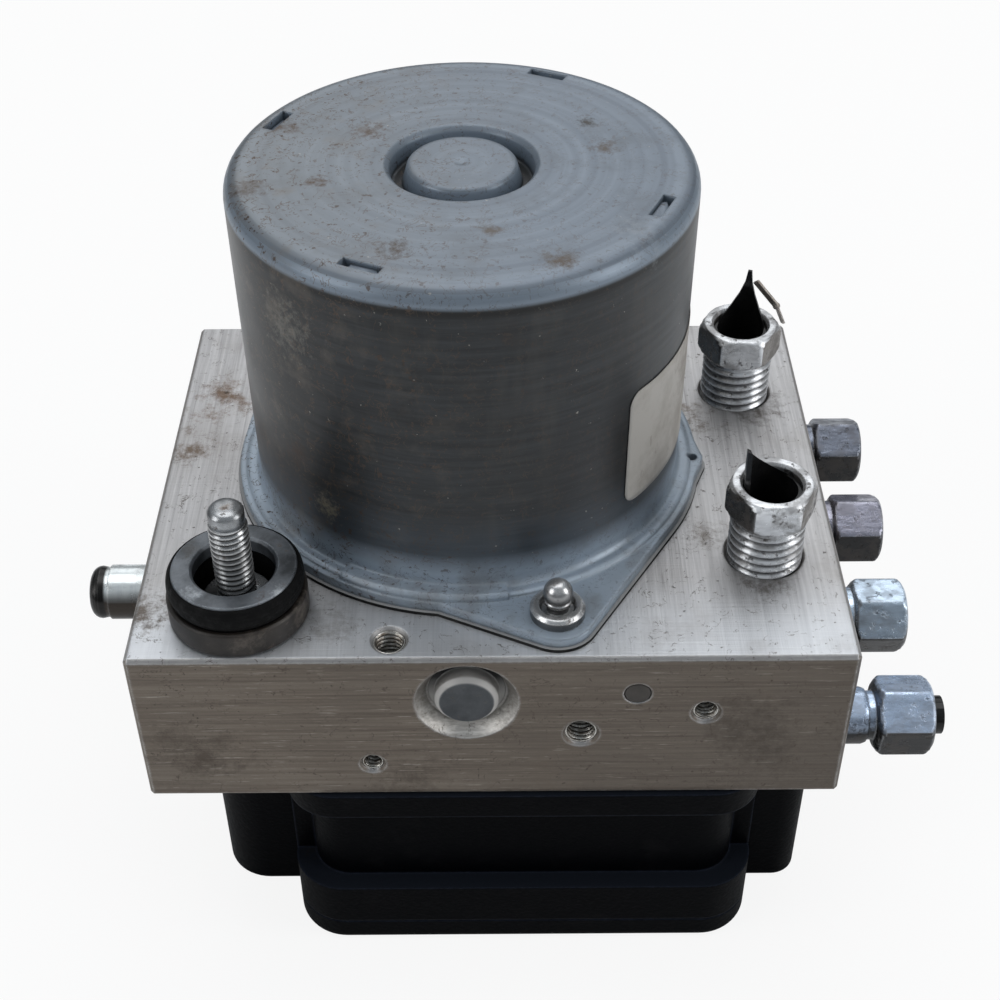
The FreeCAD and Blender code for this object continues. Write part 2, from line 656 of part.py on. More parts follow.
def can_profile():
    # Half section of the drawn can: down the outside, then back up the inside
    low = CAN_BOTTOM
    top = CAN_TOP
    wall = MOTOR_WALL
    shoulder = MOTOR_RADIUS + MOTOR_FLARE
    floor = top - BOSS_MOAT_DEPTH
    lean = BOSS_MOAT_LEAN
    hem = FLANGE_RADIUS - FLANGE_HEM
    points = [(CAN_INNER, low), (hem, low), (hem, low + FLANGE_THICKNESS)]
    for i in range(5):
        a = math.radians(90 * i / 4)
        points.append((MOTOR_RADIUS + MOTOR_FOOT * (1 - math.sin(a)),
                       low + FLANGE_THICKNESS + MOTOR_FOOT * (1 - math.cos(a))))
    for i in range(7):
        a = math.radians(90 * i / 6)
        points.append((shoulder - MOTOR_RIM * (1 - math.cos(a)), top - MOTOR_RIM * (1 - math.sin(a))))
    points += [(BOSS_MOAT_RADIUS, top), (BOSS_MOAT_RADIUS - lean, top - lean),
               (BOSS_MOAT_RADIUS - lean - BOSS_MOAT_DRAFT, floor), (BOSS_RADIUS + lean, floor)]
    for i in range(4):
        a = math.radians(90 * i / 3)
        points.append((BOSS_RADIUS - BOSS_EDGE * (1 - math.cos(a)), top - BOSS_EDGE * (1 - math.sin(a))))
    points += [(BOSS_DIMPLE_RADIUS, top), (0, top - BOSS_DIMPLE_DEPTH), (0, top - wall),
               (BOSS_RADIUS - wall, top - wall), (BOSS_RADIUS - wall, floor - wall),
               (BOSS_MOAT_RADIUS, floor - wall), (BOSS_MOAT_RADIUS + wall, top - wall),
               (CAN_INNER + MOTOR_FLARE - CAN_INNER_BEVEL, top - wall),
               (CAN_INNER + MOTOR_FLARE, top - wall - CAN_INNER_BEVEL)]
    return points


def straight_side(root_radius, tip, tip_radius, side, low, high):
    # The web between the motor's axis and a round tip, with one straight side that touches both circles
    axis = motor_point(0, 0, 0)
    along = tip - axis
    gap = along.Length
    along.normalize()
    across = vec(-along.y, along.x, 0) * side
    slope = (root_radius - tip_radius) / gap
    outward = along * slope + across * math.sqrt(1 - slope * slope)
    corners = [axis, axis + outward * root_radius, tip + outward * tip_radius, tip]
    points = [vec(p.x, p.y, low) for p in corners]
    return Part.Face(Part.makePolygon(points + points[:1])).extrude(vec(0, 0, high - low))


def flange_outline(low, high, grow=0.0):
    # Each ear meets the flange in a hollow corner on one side and in a smooth line on the other
    radius = FLANGE_RADIUS + grow
    shapes = [upright(radius, low, high, MOTOR_X, MOTOR_Y)]
    for angle in EAR_ANGLES:
        tip = motor_point(EAR_DISTANCE, angle, 0)
        tip_radius = EAR_RADIUS + grow
        shapes += [upright(tip_radius, low, high, tip.x, tip.y),
                   straight_side(MOTOR_RADIUS + EAR_ROOT_WIDTH + grow, tip, tip_radius, -1, low, high),
                   straight_side(radius, tip, tip_radius, 1, low, high)]
    tab = motor_point(TAB_DISTANCE, TAB_ANGLE, 0)
    tab_radius = TAB_RADIUS + grow
    shapes += [upright(tab_radius, low, high, tab.x, tab.y),
               straight_side(radius - WALL_OVERLAP, tab, tab_radius, -1, low, high),
               straight_side(radius - WALL_OVERLAP, tab, tab_radius, 1, low, high)]
    return union(shapes)


def flange_step(low):
    # The raised arc in front of the can's foot
    first, last = FLANGE_STEP_ANGLES
    height = FLANGE_THICKNESS + FLANGE_STEP_HEIGHT
    span = last - first
    step = Part.makeCylinder(MOTOR_RADIUS + FLANGE_STEP_WIDTH, height, vec(0, 0, low), Z_AXIS, span)
    step = step.cut(Part.makeCylinder(MOTOR_RADIUS - WALL_OVERLAP, height, vec(0, 0, low), Z_AXIS, 360))
    top_edges = [e for e in step.Edges if min(v.Z for v in e.Vertexes) > low + height - LEVEL_MARGIN]
    outer = [e for e in top_edges if e.Length > MOTOR_RADIUS / 2 and e.Curve.Radius > MOTOR_RADIUS]
    step = step.makeChamfer(FLANGE_STEP_HEIGHT / 2, outer)
    step.rotate(vec(0, 0, 0), Z_AXIS, first)
    step.translate(vec(MOTOR_X, MOTOR_Y, 0))
    return step


def make_motor_can():
    low = CAN_BOTTOM
    plate = flange_outline(low, low + FLANGE_THICKNESS)
    inner = MOTOR_RADIUS - WALL_OVERLAP
    bead_top = low + FLANGE_THICKNESS + FLANGE_BEAD_HEIGHT
    outer = FLANGE_BEAD_RADIUS
    bead = turned([(inner, low), (outer, low), (outer, bead_top - FLANGE_BEAD_HEIGHT / 2),
                   (outer - FLANGE_BEAD_BEVEL, bead_top), (inner, bead_top)], MOTOR_X, MOTOR_Y)
    can = union([plate, bead, flange_step(low), turned(can_profile(), MOTOR_X, MOTOR_Y)])
    high = low + FLANGE_THICKNESS + MOTOR_FOOT
    cuts = [upright(CAN_INNER, low - OVERRUN, high, MOTOR_X, MOTOR_Y)]
    for angle in EAR_ANGLES:
        place = motor_point(EAR_DISTANCE, angle, 0)
        cuts.append(upright(EAR_SCREW_RADIUS + SCREW_HOLE_GAP, low - OVERRUN, high, place.x, place.y))
    tab = motor_point(TAB_DISTANCE, TAB_ANGLE, 0)
    cuts.append(upright(TAB_HOLE_RADIUS, low - OVERRUN, high, tab.x, tab.y))
    for i in range(SLOT_COUNT):
        slot = box((SLOT_DISTANCE - SLOT_WIDTH / 2, -SLOT_LENGTH / 2, CAN_TOP - MOTOR_WALL - OVERRUN / 2),
                   (SLOT_DISTANCE + SLOT_WIDTH / 2, SLOT_LENGTH / 2, CAN_TOP + OVERRUN))
        slot.rotate(vec(0, 0, 0), Z_AXIS, SLOT_START_ANGLE + 360 / SLOT_COUNT * i)
        slot.translate(vec(MOTOR_X, MOTOR_Y, 0))
        cuts.append(slot)
    return can.cut(cuts)


def make_motor_gasket():
    sheet = flange_outline(BLOCK_TOP, CAN_BOTTOM, GASKET_STEP)
    low = BLOCK_TOP - OVERRUN
    high = CAN_BOTTOM + OVERRUN
    cuts = [upright(CAN_INNER, low, high, MOTOR_X, MOTOR_Y)]
    for angle in EAR_ANGLES:
        place = motor_point(EAR_DISTANCE, angle, 0)
        cuts.append(upright(EAR_SCREW_RADIUS + SCREW_HOLE_GAP, low, high, place.x, place.y))
    return sheet.cut(cuts)


def make_motor_screws():
    # Shank in the block, collar seat, slim neck with a groove, and the ball at the top
    seat = CAN_BOTTOM + FLANGE_THICKNESS + COLLAR_HEIGHT
    screws = []
    for angle in EAR_ANGLES:
        place = motor_point(EAR_DISTANCE, angle, 0)
        ball_z = seat + EAR_SCREW_BALL_HEIGHT - EAR_SCREW_BALL
        shoulder = seat - EAR_SCREW_SOCKET_DEPTH
        shank = upright(EAR_SCREW_RADIUS, BLOCK_TOP - EAR_SCREW_DEPTH, shoulder, place.x, place.y)
        neck = upright(EAR_SCREW_NECK, shoulder - LEVEL_MARGIN, ball_z, place.x, place.y)
        ridge = upright(EAR_SCREW_NECK + EAR_SCREW_RIDGE, seat + EAR_SCREW_RIDGE_LOW,
                        seat + EAR_SCREW_RIDGE_HIGH, place.x, place.y)
        ball = Part.makeSphere(EAR_SCREW_BALL, vec(place.x, place.y, ball_z))
        screws.append(union([shank, neck, ridge, ball]))
    return Part.makeCompound(screws)


def make_motor_screw_collars():
    low = CAN_BOTTOM + FLANGE_THICKNESS
    top = low + COLLAR_HEIGHT
    hole = EAR_SCREW_RADIUS + COLLAR_GAP
    collars = []
    for angle in EAR_ANGLES:
        place = motor_point(EAR_DISTANCE, angle, 0)
        profile = [(hole, low), (COLLAR_RADIUS, low), (COLLAR_RADIUS, top - COLLAR_BEVEL),
                   (COLLAR_RADIUS - COLLAR_BEVEL, top), (EAR_SCREW_SOCKET, top),
                   (hole, top - EAR_SCREW_SOCKET_DEPTH)]
        collars.append(turned(profile, place.x, place.y))
    return Part.makeCompound(collars)


def make_motor_magnets():
    low = (CORE_BOTTOM + CORE_TOP - MAGNET_HEIGHT) / 2
    shells = []
    for middle in (90, 270):
        ring = Part.makeCylinder(MAGNET_OUTER, MAGNET_HEIGHT, vec(0, 0, low), Z_AXIS, MAGNET_SPAN)
        ring = ring.cut(Part.makeCylinder(MAGNET_INNER, MAGNET_HEIGHT, vec(0, 0, low), Z_AXIS, 360))
        ring.rotate(vec(0, 0, 0), Z_AXIS, middle - MAGNET_SPAN / 2)
        ring.translate(vec(MOTOR_X, MOTOR_Y, 0))
        shells.append(ring)
    return Part.makeCompound(shells)


def around_motor(body, count):
    copies = []
    for i in range(count):
        copy = body.copy()
        copy.rotate(vec(0, 0, 0), Z_AXIS, 360 / count * i)
        copy.translate(vec(MOTOR_X, MOTOR_Y, 0))
        copies.append(copy)
    return copies


def make_armature_core():
    core = upright(CORE_RADIUS, CORE_BOTTOM, CORE_TOP, MOTOR_X, MOTOR_Y)
    low = CORE_BOTTOM - OVERRUN
    high = CORE_TOP + OVERRUN
    tooth = CORE_RADIUS - CORE_TOOTH_TIP
    slot = box((tooth - CORE_SLOT_DEPTH, -CORE_SLOT_WIDTH / 2, low), (tooth, CORE_SLOT_WIDTH / 2, high))
    mouth = box((tooth - CORE_TOOTH_TIP, -CORE_SLOT_MOUTH / 2, low),
                (CORE_RADIUS + OVERRUN, CORE_SLOT_MOUTH / 2, high))
    shaft = upright(SHAFT_RADIUS + FIXED_GAP, low, high, MOTOR_X, MOTOR_Y)
    return core.cut(around_motor(slot, CORE_SLOTS) + around_motor(mouth, CORE_SLOTS) + [shaft])


def make_armature_winding():
    gap = WINDING_CLEARANCE
    soft = WINDING_BEVEL
    outer = CORE_RADIUS - CORE_TOOTH_TIP - WINDING_SINK
    root = CORE_RADIUS - CORE_TOOTH_TIP - CORE_SLOT_DEPTH + gap
    half = CORE_SLOT_WIDTH / 2 - gap
    bar_end = WINDING_OVERHANG / 2
    bar = box((root, -half, CORE_BOTTOM - bar_end), (outer, half, CORE_TOP + bar_end))
    rings = []
    for low, high in ((CORE_BOTTOM - WINDING_OVERHANG, CORE_BOTTOM - gap),
                      (CORE_TOP + gap, CORE_TOP + WINDING_OVERHANG)):
        profile = [(WINDING_INNER, low + soft), (WINDING_INNER + soft, low), (WINDING_OUTER - soft, low),
                   (WINDING_OUTER, low + soft), (WINDING_OUTER, high - soft), (WINDING_OUTER - soft, high),
                   (WINDING_INNER + soft, high), (WINDING_INNER, high - soft)]
        rings.append(turned(profile, MOTOR_X, MOTOR_Y))
    return union(rings + around_motor(bar, CORE_SLOTS))


def make_commutator():
    low = BLOCK_TOP + COMMUTATOR_LIFT
    high = low + COMMUTATOR_HEIGHT
    body = upright(COMMUTATOR_RADIUS, low, high, MOTOR_X, MOTOR_Y)
    slit = box((COMMUTATOR_RADIUS - COMMUTATOR_SLIT_DEPTH, -COMMUTATOR_SLIT / 2, low - OVERRUN),
               (COMMUTATOR_RADIUS + OVERRUN, COMMUTATOR_SLIT / 2, high + OVERRUN))
    shaft = upright(SHAFT_RADIUS + FIXED_GAP, low - OVERRUN, high + OVERRUN, MOTOR_X, MOTOR_Y)
    return body.cut(around_motor(slit, CORE_SLOTS) + [shaft])


def make_rotor_shaft():
    # Turned in one piece: top journal, body, offset eccentric and the pilot end below it
    bearing_floor = BLOCK_TOP - MAIN_BEARING_HEIGHT
    pilot_top = BLOCK_BOTTOM + CHAMBER_FLOOR
    low = pilot_top - PILOT_BEARING_HEIGHT + BEARING_END_GAP
    top = CAN_TOP - MOTOR_WALL - BEARING_END_GAP
    top_low = top - TOP_BEARING_HEIGHT
    ecc_low = PUMP_Z - ECCENTRIC_HEIGHT / 2
    ecc_high = PUMP_Z + ECCENTRIC_HEIGHT / 2
    return union([upright(SHAFT_PILOT_RADIUS, low, ecc_low, MOTOR_X, MOTOR_Y),
                  upright(ECCENTRIC_RADIUS, ecc_low, ecc_high, MOTOR_X + ECCENTRICITY, MOTOR_Y),
                  upright(SHAFT_RADIUS, min(ecc_high, bearing_floor), top_low, MOTOR_X, MOTOR_Y),
                  upright(SHAFT_TOP_RADIUS, top_low, top, MOTOR_X, MOTOR_Y)])


def ring(outer, inner, low, high, x, y):
    return upright(outer, low, high, x, y).cut(upright(inner, low - OVERRUN, high + OVERRUN, x, y))


def make_bearings():
    bearing_floor = BLOCK_TOP - MAIN_BEARING_HEIGHT
    chamber = BLOCK_BOTTOM + CHAMBER_FLOOR
    pilot = SHAFT_PILOT_RADIUS + RUNNING_GAP
    top = CAN_TOP - MOTOR_WALL
    ecc_half = ECCENTRIC_HEIGHT / 2 - BEARING_END_GAP
    main_low = bearing_floor + BEARING_END_GAP
    return {
        "main_bearing": ring(CHAMBER_RADIUS, SHAFT_RADIUS + RUNNING_GAP, main_low, BLOCK_TOP,
                             MOTOR_X, MOTOR_Y),
        "pilot_bearing": ring(pilot + PILOT_BEARING_WALL, pilot, chamber - PILOT_BEARING_HEIGHT, chamber,
                              MOTOR_X, MOTOR_Y),
        "top_bearing": ring(BOSS_RADIUS - MOTOR_WALL - FIXED_GAP, SHAFT_TOP_RADIUS + RUNNING_GAP,
                            top - TOP_BEARING_HEIGHT, top, MOTOR_X, MOTOR_Y),
        "eccentric_ring": ring(RING_RADIUS, ECCENTRIC_RADIUS + RUNNING_GAP, PUMP_Z - ecc_half,
                               PUMP_Z + ecc_half, MOTOR_X + ECCENTRICITY, MOTOR_Y),
    }


def brush_levels():
    middle = BLOCK_TOP + COMMUTATOR_LIFT + COMMUTATOR_HEIGHT / 2
    return middle - BRUSH_HEIGHT / 2, middle + BRUSH_HEIGHT / 2


def make_brush_plate():
    # Moulded carrier: a disc with two open brush boxes and the tower of the motor's plug
    low, high = brush_levels()
    base = BLOCK_TOP + PLATE_THICKNESS
    solids = [upright(PLATE_RADIUS, BLOCK_TOP, base, MOTOR_X, MOTOR_Y)]
    cuts = [upright(PLATE_HOLE_RADIUS, BLOCK_TOP - OVERRUN, base + OVERRUN, MOTOR_X, MOTOR_Y)]
    start = COMMUTATOR_RADIUS + BRUSH_GAP + BRUSH_BOX_SETBACK
    end = start + BRUSH_LENGTH + BRUSH_SPRING_LENGTH + BRUSH_BOX_END
    wall = BRUSH_BOX_WALL
    side_gap = BRUSH_SIDE_GAP
    half = BRUSH_WIDTH / 2 + side_gap
    for side in (-1, 1):
        shell = box((start, -half - wall, base - WALL_OVERLAP), (end, half + wall, high + side_gap + wall))
        hollow = box((start - OVERRUN, -half, low - side_gap), (end - wall, half, high + side_gap))
        for body, group in ((shell, solids), (hollow, cuts)):
            body.rotate(vec(0, 0, 0), Z_AXIS, 0 if side > 0 else 180)
            body.translate(vec(MOTOR_X, MOTOR_Y, 0))
            group.append(body)
    tower_top = base + TERMINAL_TOWER_PROUD
    solids.append(upright(TERMINAL_TOWER_RADIUS, BLOCK_BOTTOM, tower_top, TERMINAL_X, TERMINAL_Y))
    side = TERMINAL_PIN_SIDE / 2 + FIXED_GAP
    for x in terminal_pin_places():
        cuts.append(box((x - side, TERMINAL_Y - side, BLOCK_BOTTOM - OVERRUN),
                        (x + side, TERMINAL_Y + side, tower_top + OVERRUN)))
    return union(solids).cut(cuts)


def make_terminal_pins():
    side = TERMINAL_PIN_SIDE / 2
    low = BLOCK_BOTTOM - TERMINAL_PIN_REACH
    high = BLOCK_TOP + PLATE_THICKNESS + TERMINAL_PIN_PROUD
    return Part.makeCompound([box((x - side, TERMINAL_Y - side, low), (x + side, TERMINAL_Y + side, high))
                              for x in terminal_pin_places()])


def make_brush(side):
    low, high = brush_levels()
    inner = COMMUTATOR_RADIUS + BRUSH_GAP
    block = box((inner - BRUSH_HOLLOW, -BRUSH_WIDTH / 2, low), (inner + BRUSH_LENGTH, BRUSH_WIDTH / 2, high))
    block = block.cut(upright(inner, low - OVERRUN, high + OVERRUN))
    block.rotate(vec(0, 0, 0), Z_AXIS, 0 if side > 0 else 180)
    block.translate(vec(MOTOR_X, MOTOR_Y, 0))
    return block


def make_brush_springs():
    middle = sum(brush_levels()) / 2
    start = COMMUTATOR_RADIUS + BRUSH_GAP + BRUSH_LENGTH + SPRING_END_GAP * 2
    radius = BRUSH_HEIGHT / 2 - BRUSH_SPRING_CLEARANCE
    length = BRUSH_SPRING_LENGTH - SPRING_END_GAP * 6
    springs = []
    for side in (-1, 1):
        place = vec(MOTOR_X + side * start, MOTOR_Y, middle)
        springs.append(spring(radius, BRUSH_SPRING_WIRE, length, BRUSH_SPRING_TURNS, place, X_AXIS * side))
    return Part.makeCompound(springs)


def make_pump_plug(side):
    # Steel plug pressed into the pump bore: its head stands in the countersink, level with
    # the block's face
    out = pump_direction(side)
    inner = PISTON_END + PUMP_SPRING_LENGTH
    face = face_distance(side) - inner
    shoulder = face - PLUG_STEP_DEPTH
    body_radius = PUMP_BORE_RADIUS - FIXED_GAP
    bevel = PLUG_HEAD_RADIUS - PLUG_FACE_RADIUS
    profile = [(0, 0), (body_radius, 0), (body_radius, shoulder), (PLUG_HEAD_RADIUS, shoulder),
               (PLUG_HEAD_RADIUS, face - bevel), (PLUG_FACE_RADIUS, face), (0, face)]
    body = turned(profile, 0, 0).cut(rod(PLUG_SPIGOT_RADIUS, PLUG_SPIGOT_DEPTH, vec(0, 0, 0)))
    return aimed(body, pump_origin() + out * inner, out)


def make_pump_piston(side):
    out = pump_direction(side)
    nose = PISTON_NOSE_BEVEL
    end = PISTON_LENGTH - PISTON_END_GAP
    collar_low = end - PISTON_COLLAR_HEIGHT
    well = PISTON_WELL_RADIUS
    profile = [(0, 0), (PISTON_RADIUS - nose, 0), (PISTON_RADIUS, nose), (PISTON_RADIUS, collar_low),
               (PISTON_COLLAR_RADIUS, collar_low), (PISTON_COLLAR_RADIUS, end), (well, end),
               (well, end - PISTON_WELL_DEPTH), (0, end - PISTON_WELL_DEPTH - well * HOLE_POINT)]
    return aimed(turned(profile, 0, 0), pump_origin() + out * PISTON_START, out)


def make_pump_spring(side):
    out = pump_direction(side)
    start = pump_origin() + out * (PISTON_END + SPRING_END_GAP)
    length = PUMP_SPRING_LENGTH - SPRING_END_GAP * 3
    return spring(PUMP_SPRING_RADIUS, PUMP_SPRING_WIRE, length, PUMP_SPRING_TURNS, start, out)


def make_accumulator_piston(site):
    x, y = site
    top = BLOCK_BOTTOM + ACCUMULATOR_DEPTH - ACCUMULATOR_TOP_GAP
    outer = ACCUMULATOR_RADIUS - RUNNING_GAP
    low = top - ACCUMULATOR_PISTON_HEIGHT
    hollow = low + ACCUMULATOR_HOLLOW
    inner = outer - ACCUMULATOR_SKIRT
    groove = outer - ACCUMULATOR_GROOVE_DEPTH
    groove_low = low + ACCUMULATOR_GROOVE_LIFT
    groove_high = groove_low + ACCUMULATOR_GROOVE_WIDTH
    bevel = ACCUMULATOR_PISTON_BEVEL
    profile = [(0, hollow), (inner, hollow), (inner, low), (outer, low), (outer, groove_low),
               (groove, groove_low), (groove, groove_high), (outer, groove_high), (outer, top - bevel),
               (outer - bevel, top), (0, top)]
    return turned(profile, x, y)


def make_accumulator_spring(site):
    x, y = site
    piston_low = BLOCK_BOTTOM + ACCUMULATOR_DEPTH - ACCUMULATOR_TOP_GAP - ACCUMULATOR_PISTON_HEIGHT
    top = piston_low + ACCUMULATOR_HOLLOW
    low = BLOCK_BOTTOM + ACCUMULATOR_CAP_HEIGHT + SPRING_END_GAP
    length = top - low - SPRING_END_GAP * 2
    return spring(ACCUMULATOR_SPRING_RADIUS, ACCUMULATOR_SPRING_WIRE, length, ACCUMULATOR_SPRING_TURNS,
                  vec(x, y, low), Z_AXIS)


def make_accumulator_caps():
    caps = []
    top = BLOCK_BOTTOM + ACCUMULATOR_CAP_HEIGHT
    for x, y in ACCUMULATOR_SITES:
        caps.append(ring(ACCUMULATOR_RADIUS - FIXED_GAP, ACCUMULATOR_VENT_RADIUS, BLOCK_BOTTOM, top, x, y))
    return Part.makeCompound(caps)


def valve_levels():
    low = BLOCK_BOTTOM - VALVE_TUBE_REACH
    inside = low + VALVE_TUBE_WALL
    seat = BLOCK_BOTTOM + VALVE_BODY_DEPTH / 2
    return low, inside, seat


def make_valve_bodies():
    # Turned cartridge with a thin closed tube below it in which the armature slides
    low, inside, seat = valve_levels()
    bore = VALVE_TUBE_RADIUS - VALVE_TUBE_WALL
    top = BLOCK_BOTTOM + VALVE_BODY_DEPTH - VALVE_END_GAP
    bevel = VALVE_TUBE_BEVEL
    profile = [(0, low), (VALVE_TUBE_RADIUS - bevel, low), (VALVE_TUBE_RADIUS, low + bevel),
               (VALVE_TUBE_RADIUS, BLOCK_BOTTOM), (VALVE_BODY_RADIUS, BLOCK_BOTTOM), (VALVE_BODY_RADIUS, top),
               (VALVE_SEAT_RADIUS, top), (VALVE_SEAT_RADIUS, seat + VALVE_SEAT_DEPTH),
               (VALVE_SEAT_MOUTH, seat), (bore, seat), (bore, inside), (0, inside)]
    return Part.makeCompound([turned(profile, x, y) for x, y in valve_sites()])


def make_valve_armature(site):
    x, y = site
    low, inside, seat = valve_levels()
    start = inside + VALVE_END_GAP
    shoulder = start + VALVE_ARMATURE_LENGTH
    tip = seat - VALVE_STROKE - VALVE_TIP_GAP
    outer = VALVE_TUBE_RADIUS - VALVE_TUBE_WALL - RUNNING_GAP
    bevel = VALVE_ARMATURE_BEVEL
    profile = [(0, start), (outer - bevel, start), (outer, start + bevel), (outer, shoulder),
               (VALVE_NEEDLE_RADIUS, shoulder), (VALVE_NEEDLE_RADIUS, tip - VALVE_TIP_LENGTH),
               (VALVE_TIP_RADIUS, tip), (0, tip)]
    return turned(profile, x, y)


def make_valve_springs():
    low, inside, seat = valve_levels()
    start = inside + VALVE_END_GAP + VALVE_ARMATURE_LENGTH + SPRING_END_GAP
    outer = VALVE_TUBE_RADIUS - VALVE_TUBE_WALL - VALVE_SPRING_CLEARANCE
    length = seat - start - SPRING_END_GAP * 2
    coils = []
    for x, y in valve_sites():
        coils.append(spring(outer, VALVE_SPRING_WIRE, length, VALVE_SPRING_TURNS, vec(x, y, start), Z_AXIS))
    return Part.makeCompound(coils)


def make_valve_coils():
    # Each coil is a wound bobbin in a yoke cup, hung below the block round its valve tube
    high = BLOCK_BOTTOM - HOUSING_ROOF
    low = high - COIL_HEIGHT
    bore = VALVE_TUBE_RADIUS + COIL_GAP
    waist = COIL_RADIUS - COIL_WAIST
    outer = COIL_RADIUS
    profile = [(bore, low), (outer, low), (outer, low + COIL_FLANGE), (waist, low + COIL_FLANGE),
               (waist, high - COIL_FLANGE), (outer, high - COIL_FLANGE), (outer, high), (bore, high)]
    return Part.makeCompound([turned(profile, x, y) for x, y in valve_sites()])


def narrow_plate(low, high, inset=0.0, corner=NARROW_CORNER):
    radius = max(corner - inset, HOUSING_INNER_CORNER / 2)
    back = HOUSING_INNER_CORNER
    return rounded_plate(NARROW_LEFT + inset, NARROW_RIGHT - inset, NARROW_FRONT + inset, NARROW_BACK - inset,
                         low, high, (radius, radius, back, back))


def wide_plate(low, high, inset=0.0):
    left = WIDE_LEFT_CORNER - inset
    right = WIDE_RIGHT_CORNER - inset
    return rounded_plate(WIDE_LEFT + inset, WIDE_RIGHT - inset, WIDE_FRONT + inset, WIDE_BACK - inset,
                         low, high, (left, right, right, left))


def housing_levels():
    rim_low = COVER_THICKNESS + SEAM_GAP
    rim_high = COVER_THICKNESS + RIM_HEIGHT
    return rim_low, rim_high, BLOCK_BOTTOM - FLANGE_DEPTH, BLOCK_BOTTOM


def connector_shell(inset, start, end):
    low = CONNECTOR_LIFT + inset
    high = CONNECTOR_LIFT + CONNECTOR_HEIGHT - inset
    half = CONNECTOR_WIDTH / 2 - inset
    body = box((CONNECTOR_X - half, start, low), (CONNECTOR_X + half, end, high))
    edges = [e for e in body.Edges if abs(e.Vertexes[0].Point.y - e.Vertexes[1].Point.y) > LEVEL_MARGIN]
    return body.makeFillet(CONNECTOR_CORNER - inset, edges)


def connector_pin_places():
    middle = CONNECTOR_LIFT + CONNECTOR_HEIGHT / 2
    places = []
    for row in range(PIN_ROWS):
        z = middle + (row - (PIN_ROWS - 1) / 2) * PIN_ROW_PITCH
        places += [(CONNECTOR_X + (i - (PIN_COLUMNS - 1) / 2) * PIN_PITCH, z) for i in range(PIN_COLUMNS)]
    return places


def unit_screw_seat():
    return BLOCK_BOTTOM - UNIT_SCREW_SEAT_DEPTH


def front_groove(low, high):
    # The broad groove between the rim at the foot and the flange at the top
    outer = narrow_plate(low, high, -OVERRUN)
    core = narrow_plate(low - OVERRUN, high + OVERRUN, GROOVE_INSET, GROOVE_CORNER + GROOVE_INSET)
    reach = box((NARROW_LEFT - OVERRUN * 2, NARROW_FRONT - OVERRUN * 2, low),
                (NARROW_RIGHT + OVERRUN * 2, NARROW_FRONT + GROOVE_REACH, high))
    return outer.cut(core).common(reach)


def housing_hollows(low, roof):
    # The main cavity over the circuit board, the wings beside it, and the board's shelf
    side = GROOVE_INSET + HOUSING_WALL - CAVITY_STEP
    front = NARROW_FRONT + GROOVE_INSET + HOUSING_WALL
    corner = HOUSING_INNER_CORNER
    cavity = rounded_plate(NARROW_LEFT + side, NARROW_RIGHT - side, front, NARROW_BACK - HOUSING_WALL,
                           low - OVERRUN, roof, (CAVITY_CORNER, CAVITY_CORNER, corner, corner))
    tower = HOUSING_WALL + UNIT_SCREW_TOWER * 2 - WING_SETBACK
    wing = rounded_plate(WIDE_LEFT + tower, WIDE_RIGHT - tower, WIDE_FRONT + HOUSING_WALL + WING_SETBACK,
                         WIDE_BACK - HOUSING_WALL, low + WING_FLOOR, roof, (corner, corner, corner, corner))
    shelf = narrow_plate(low - OVERRUN, low + BOARD_SHELF_HEIGHT, HOUSING_WALL, NARROW_CORNER)
    return [cavity, wing, shelf]


def connector_cuts():
    floor = WIDE_BACK + CONNECTOR_FLOOR
    side = PIN_WIDTH / 2 + FIXED_GAP
    cuts = [connector_shell(CONNECTOR_WALL, floor, WIDE_BACK + CONNECTOR_REACH + OVERRUN)]
    for x, z in connector_pin_places():
        cuts.append(box((x - side, WIDE_BACK - HOUSING_WALL - OVERRUN, z - side),
                        (x + side, floor + OVERRUN, z + side)))
    return cuts


def housing_holes(low, high):
    # Openings in the roof for the valve tubes, the motor's plug and the screws
    cuts = [upright(VALVE_TUBE_RADIUS + COIL_GAP, low, high, x, y) for x, y in valve_sites()]
    cuts.append(upright(TERMINAL_TOWER_RADIUS + COIL_GAP, low, high, TERMINAL_X, TERMINAL_Y))
    seat = unit_screw_seat()
    head = UNIT_SCREW_HEAD_RADIUS + UNIT_SCREW_HEAD_GAP
    for x, y in UNIT_SCREW_SITES:
        cuts.append(upright(UNIT_SCREW_RADIUS + SCREW_HOLE_GAP, seat - OVERRUN, high, x, y))
        cuts.append(upright(head, WIDE_FOOT_LIFT - OVERRUN, seat, x, y))
    return cuts


def make_ecu_housing():
    low, rim_high, flange_low, high = housing_levels()
    body = union([narrow_plate(low, high), wide_plate(WIDE_FOOT_LIFT, high)])
    shroud = connector_shell(0.0, WIDE_BACK - OVERRUN, WIDE_BACK + CONNECTOR_REACH)
    foot = narrow_plate(WIDE_FOOT_LIFT - OVERRUN, low, -SEAM_GAP)
    cuts = [front_groove(rim_high, flange_low), foot] + housing_hollows(low, high - HOUSING_ROOF)
    cuts += connector_cuts() + housing_holes(high - HOUSING_ROOF - OVERRUN, high + OVERRUN)
    groove_out = narrow_plate(high - SEAL_HEIGHT, high + OVERRUN, SEAL_INSET)
    groove_in = narrow_plate(high - SEAL_HEIGHT, high + OVERRUN, SEAL_INSET + SEAL_WIDTH)
    cuts.append(groove_out.cut(groove_in))
    return union([body, shroud]).cut(cuts)


def make_ecu_seal():
    high = BLOCK_BOTTOM
    low = high - SEAL_HEIGHT
    outer = narrow_plate(low, high, SEAL_INSET + SEAL_SIDE_GAP)
    inner = narrow_plate(low - OVERRUN, high + OVERRUN, SEAL_INSET + SEAL_WIDTH - SEAL_SIDE_GAP)
    return outer.cut(inner)


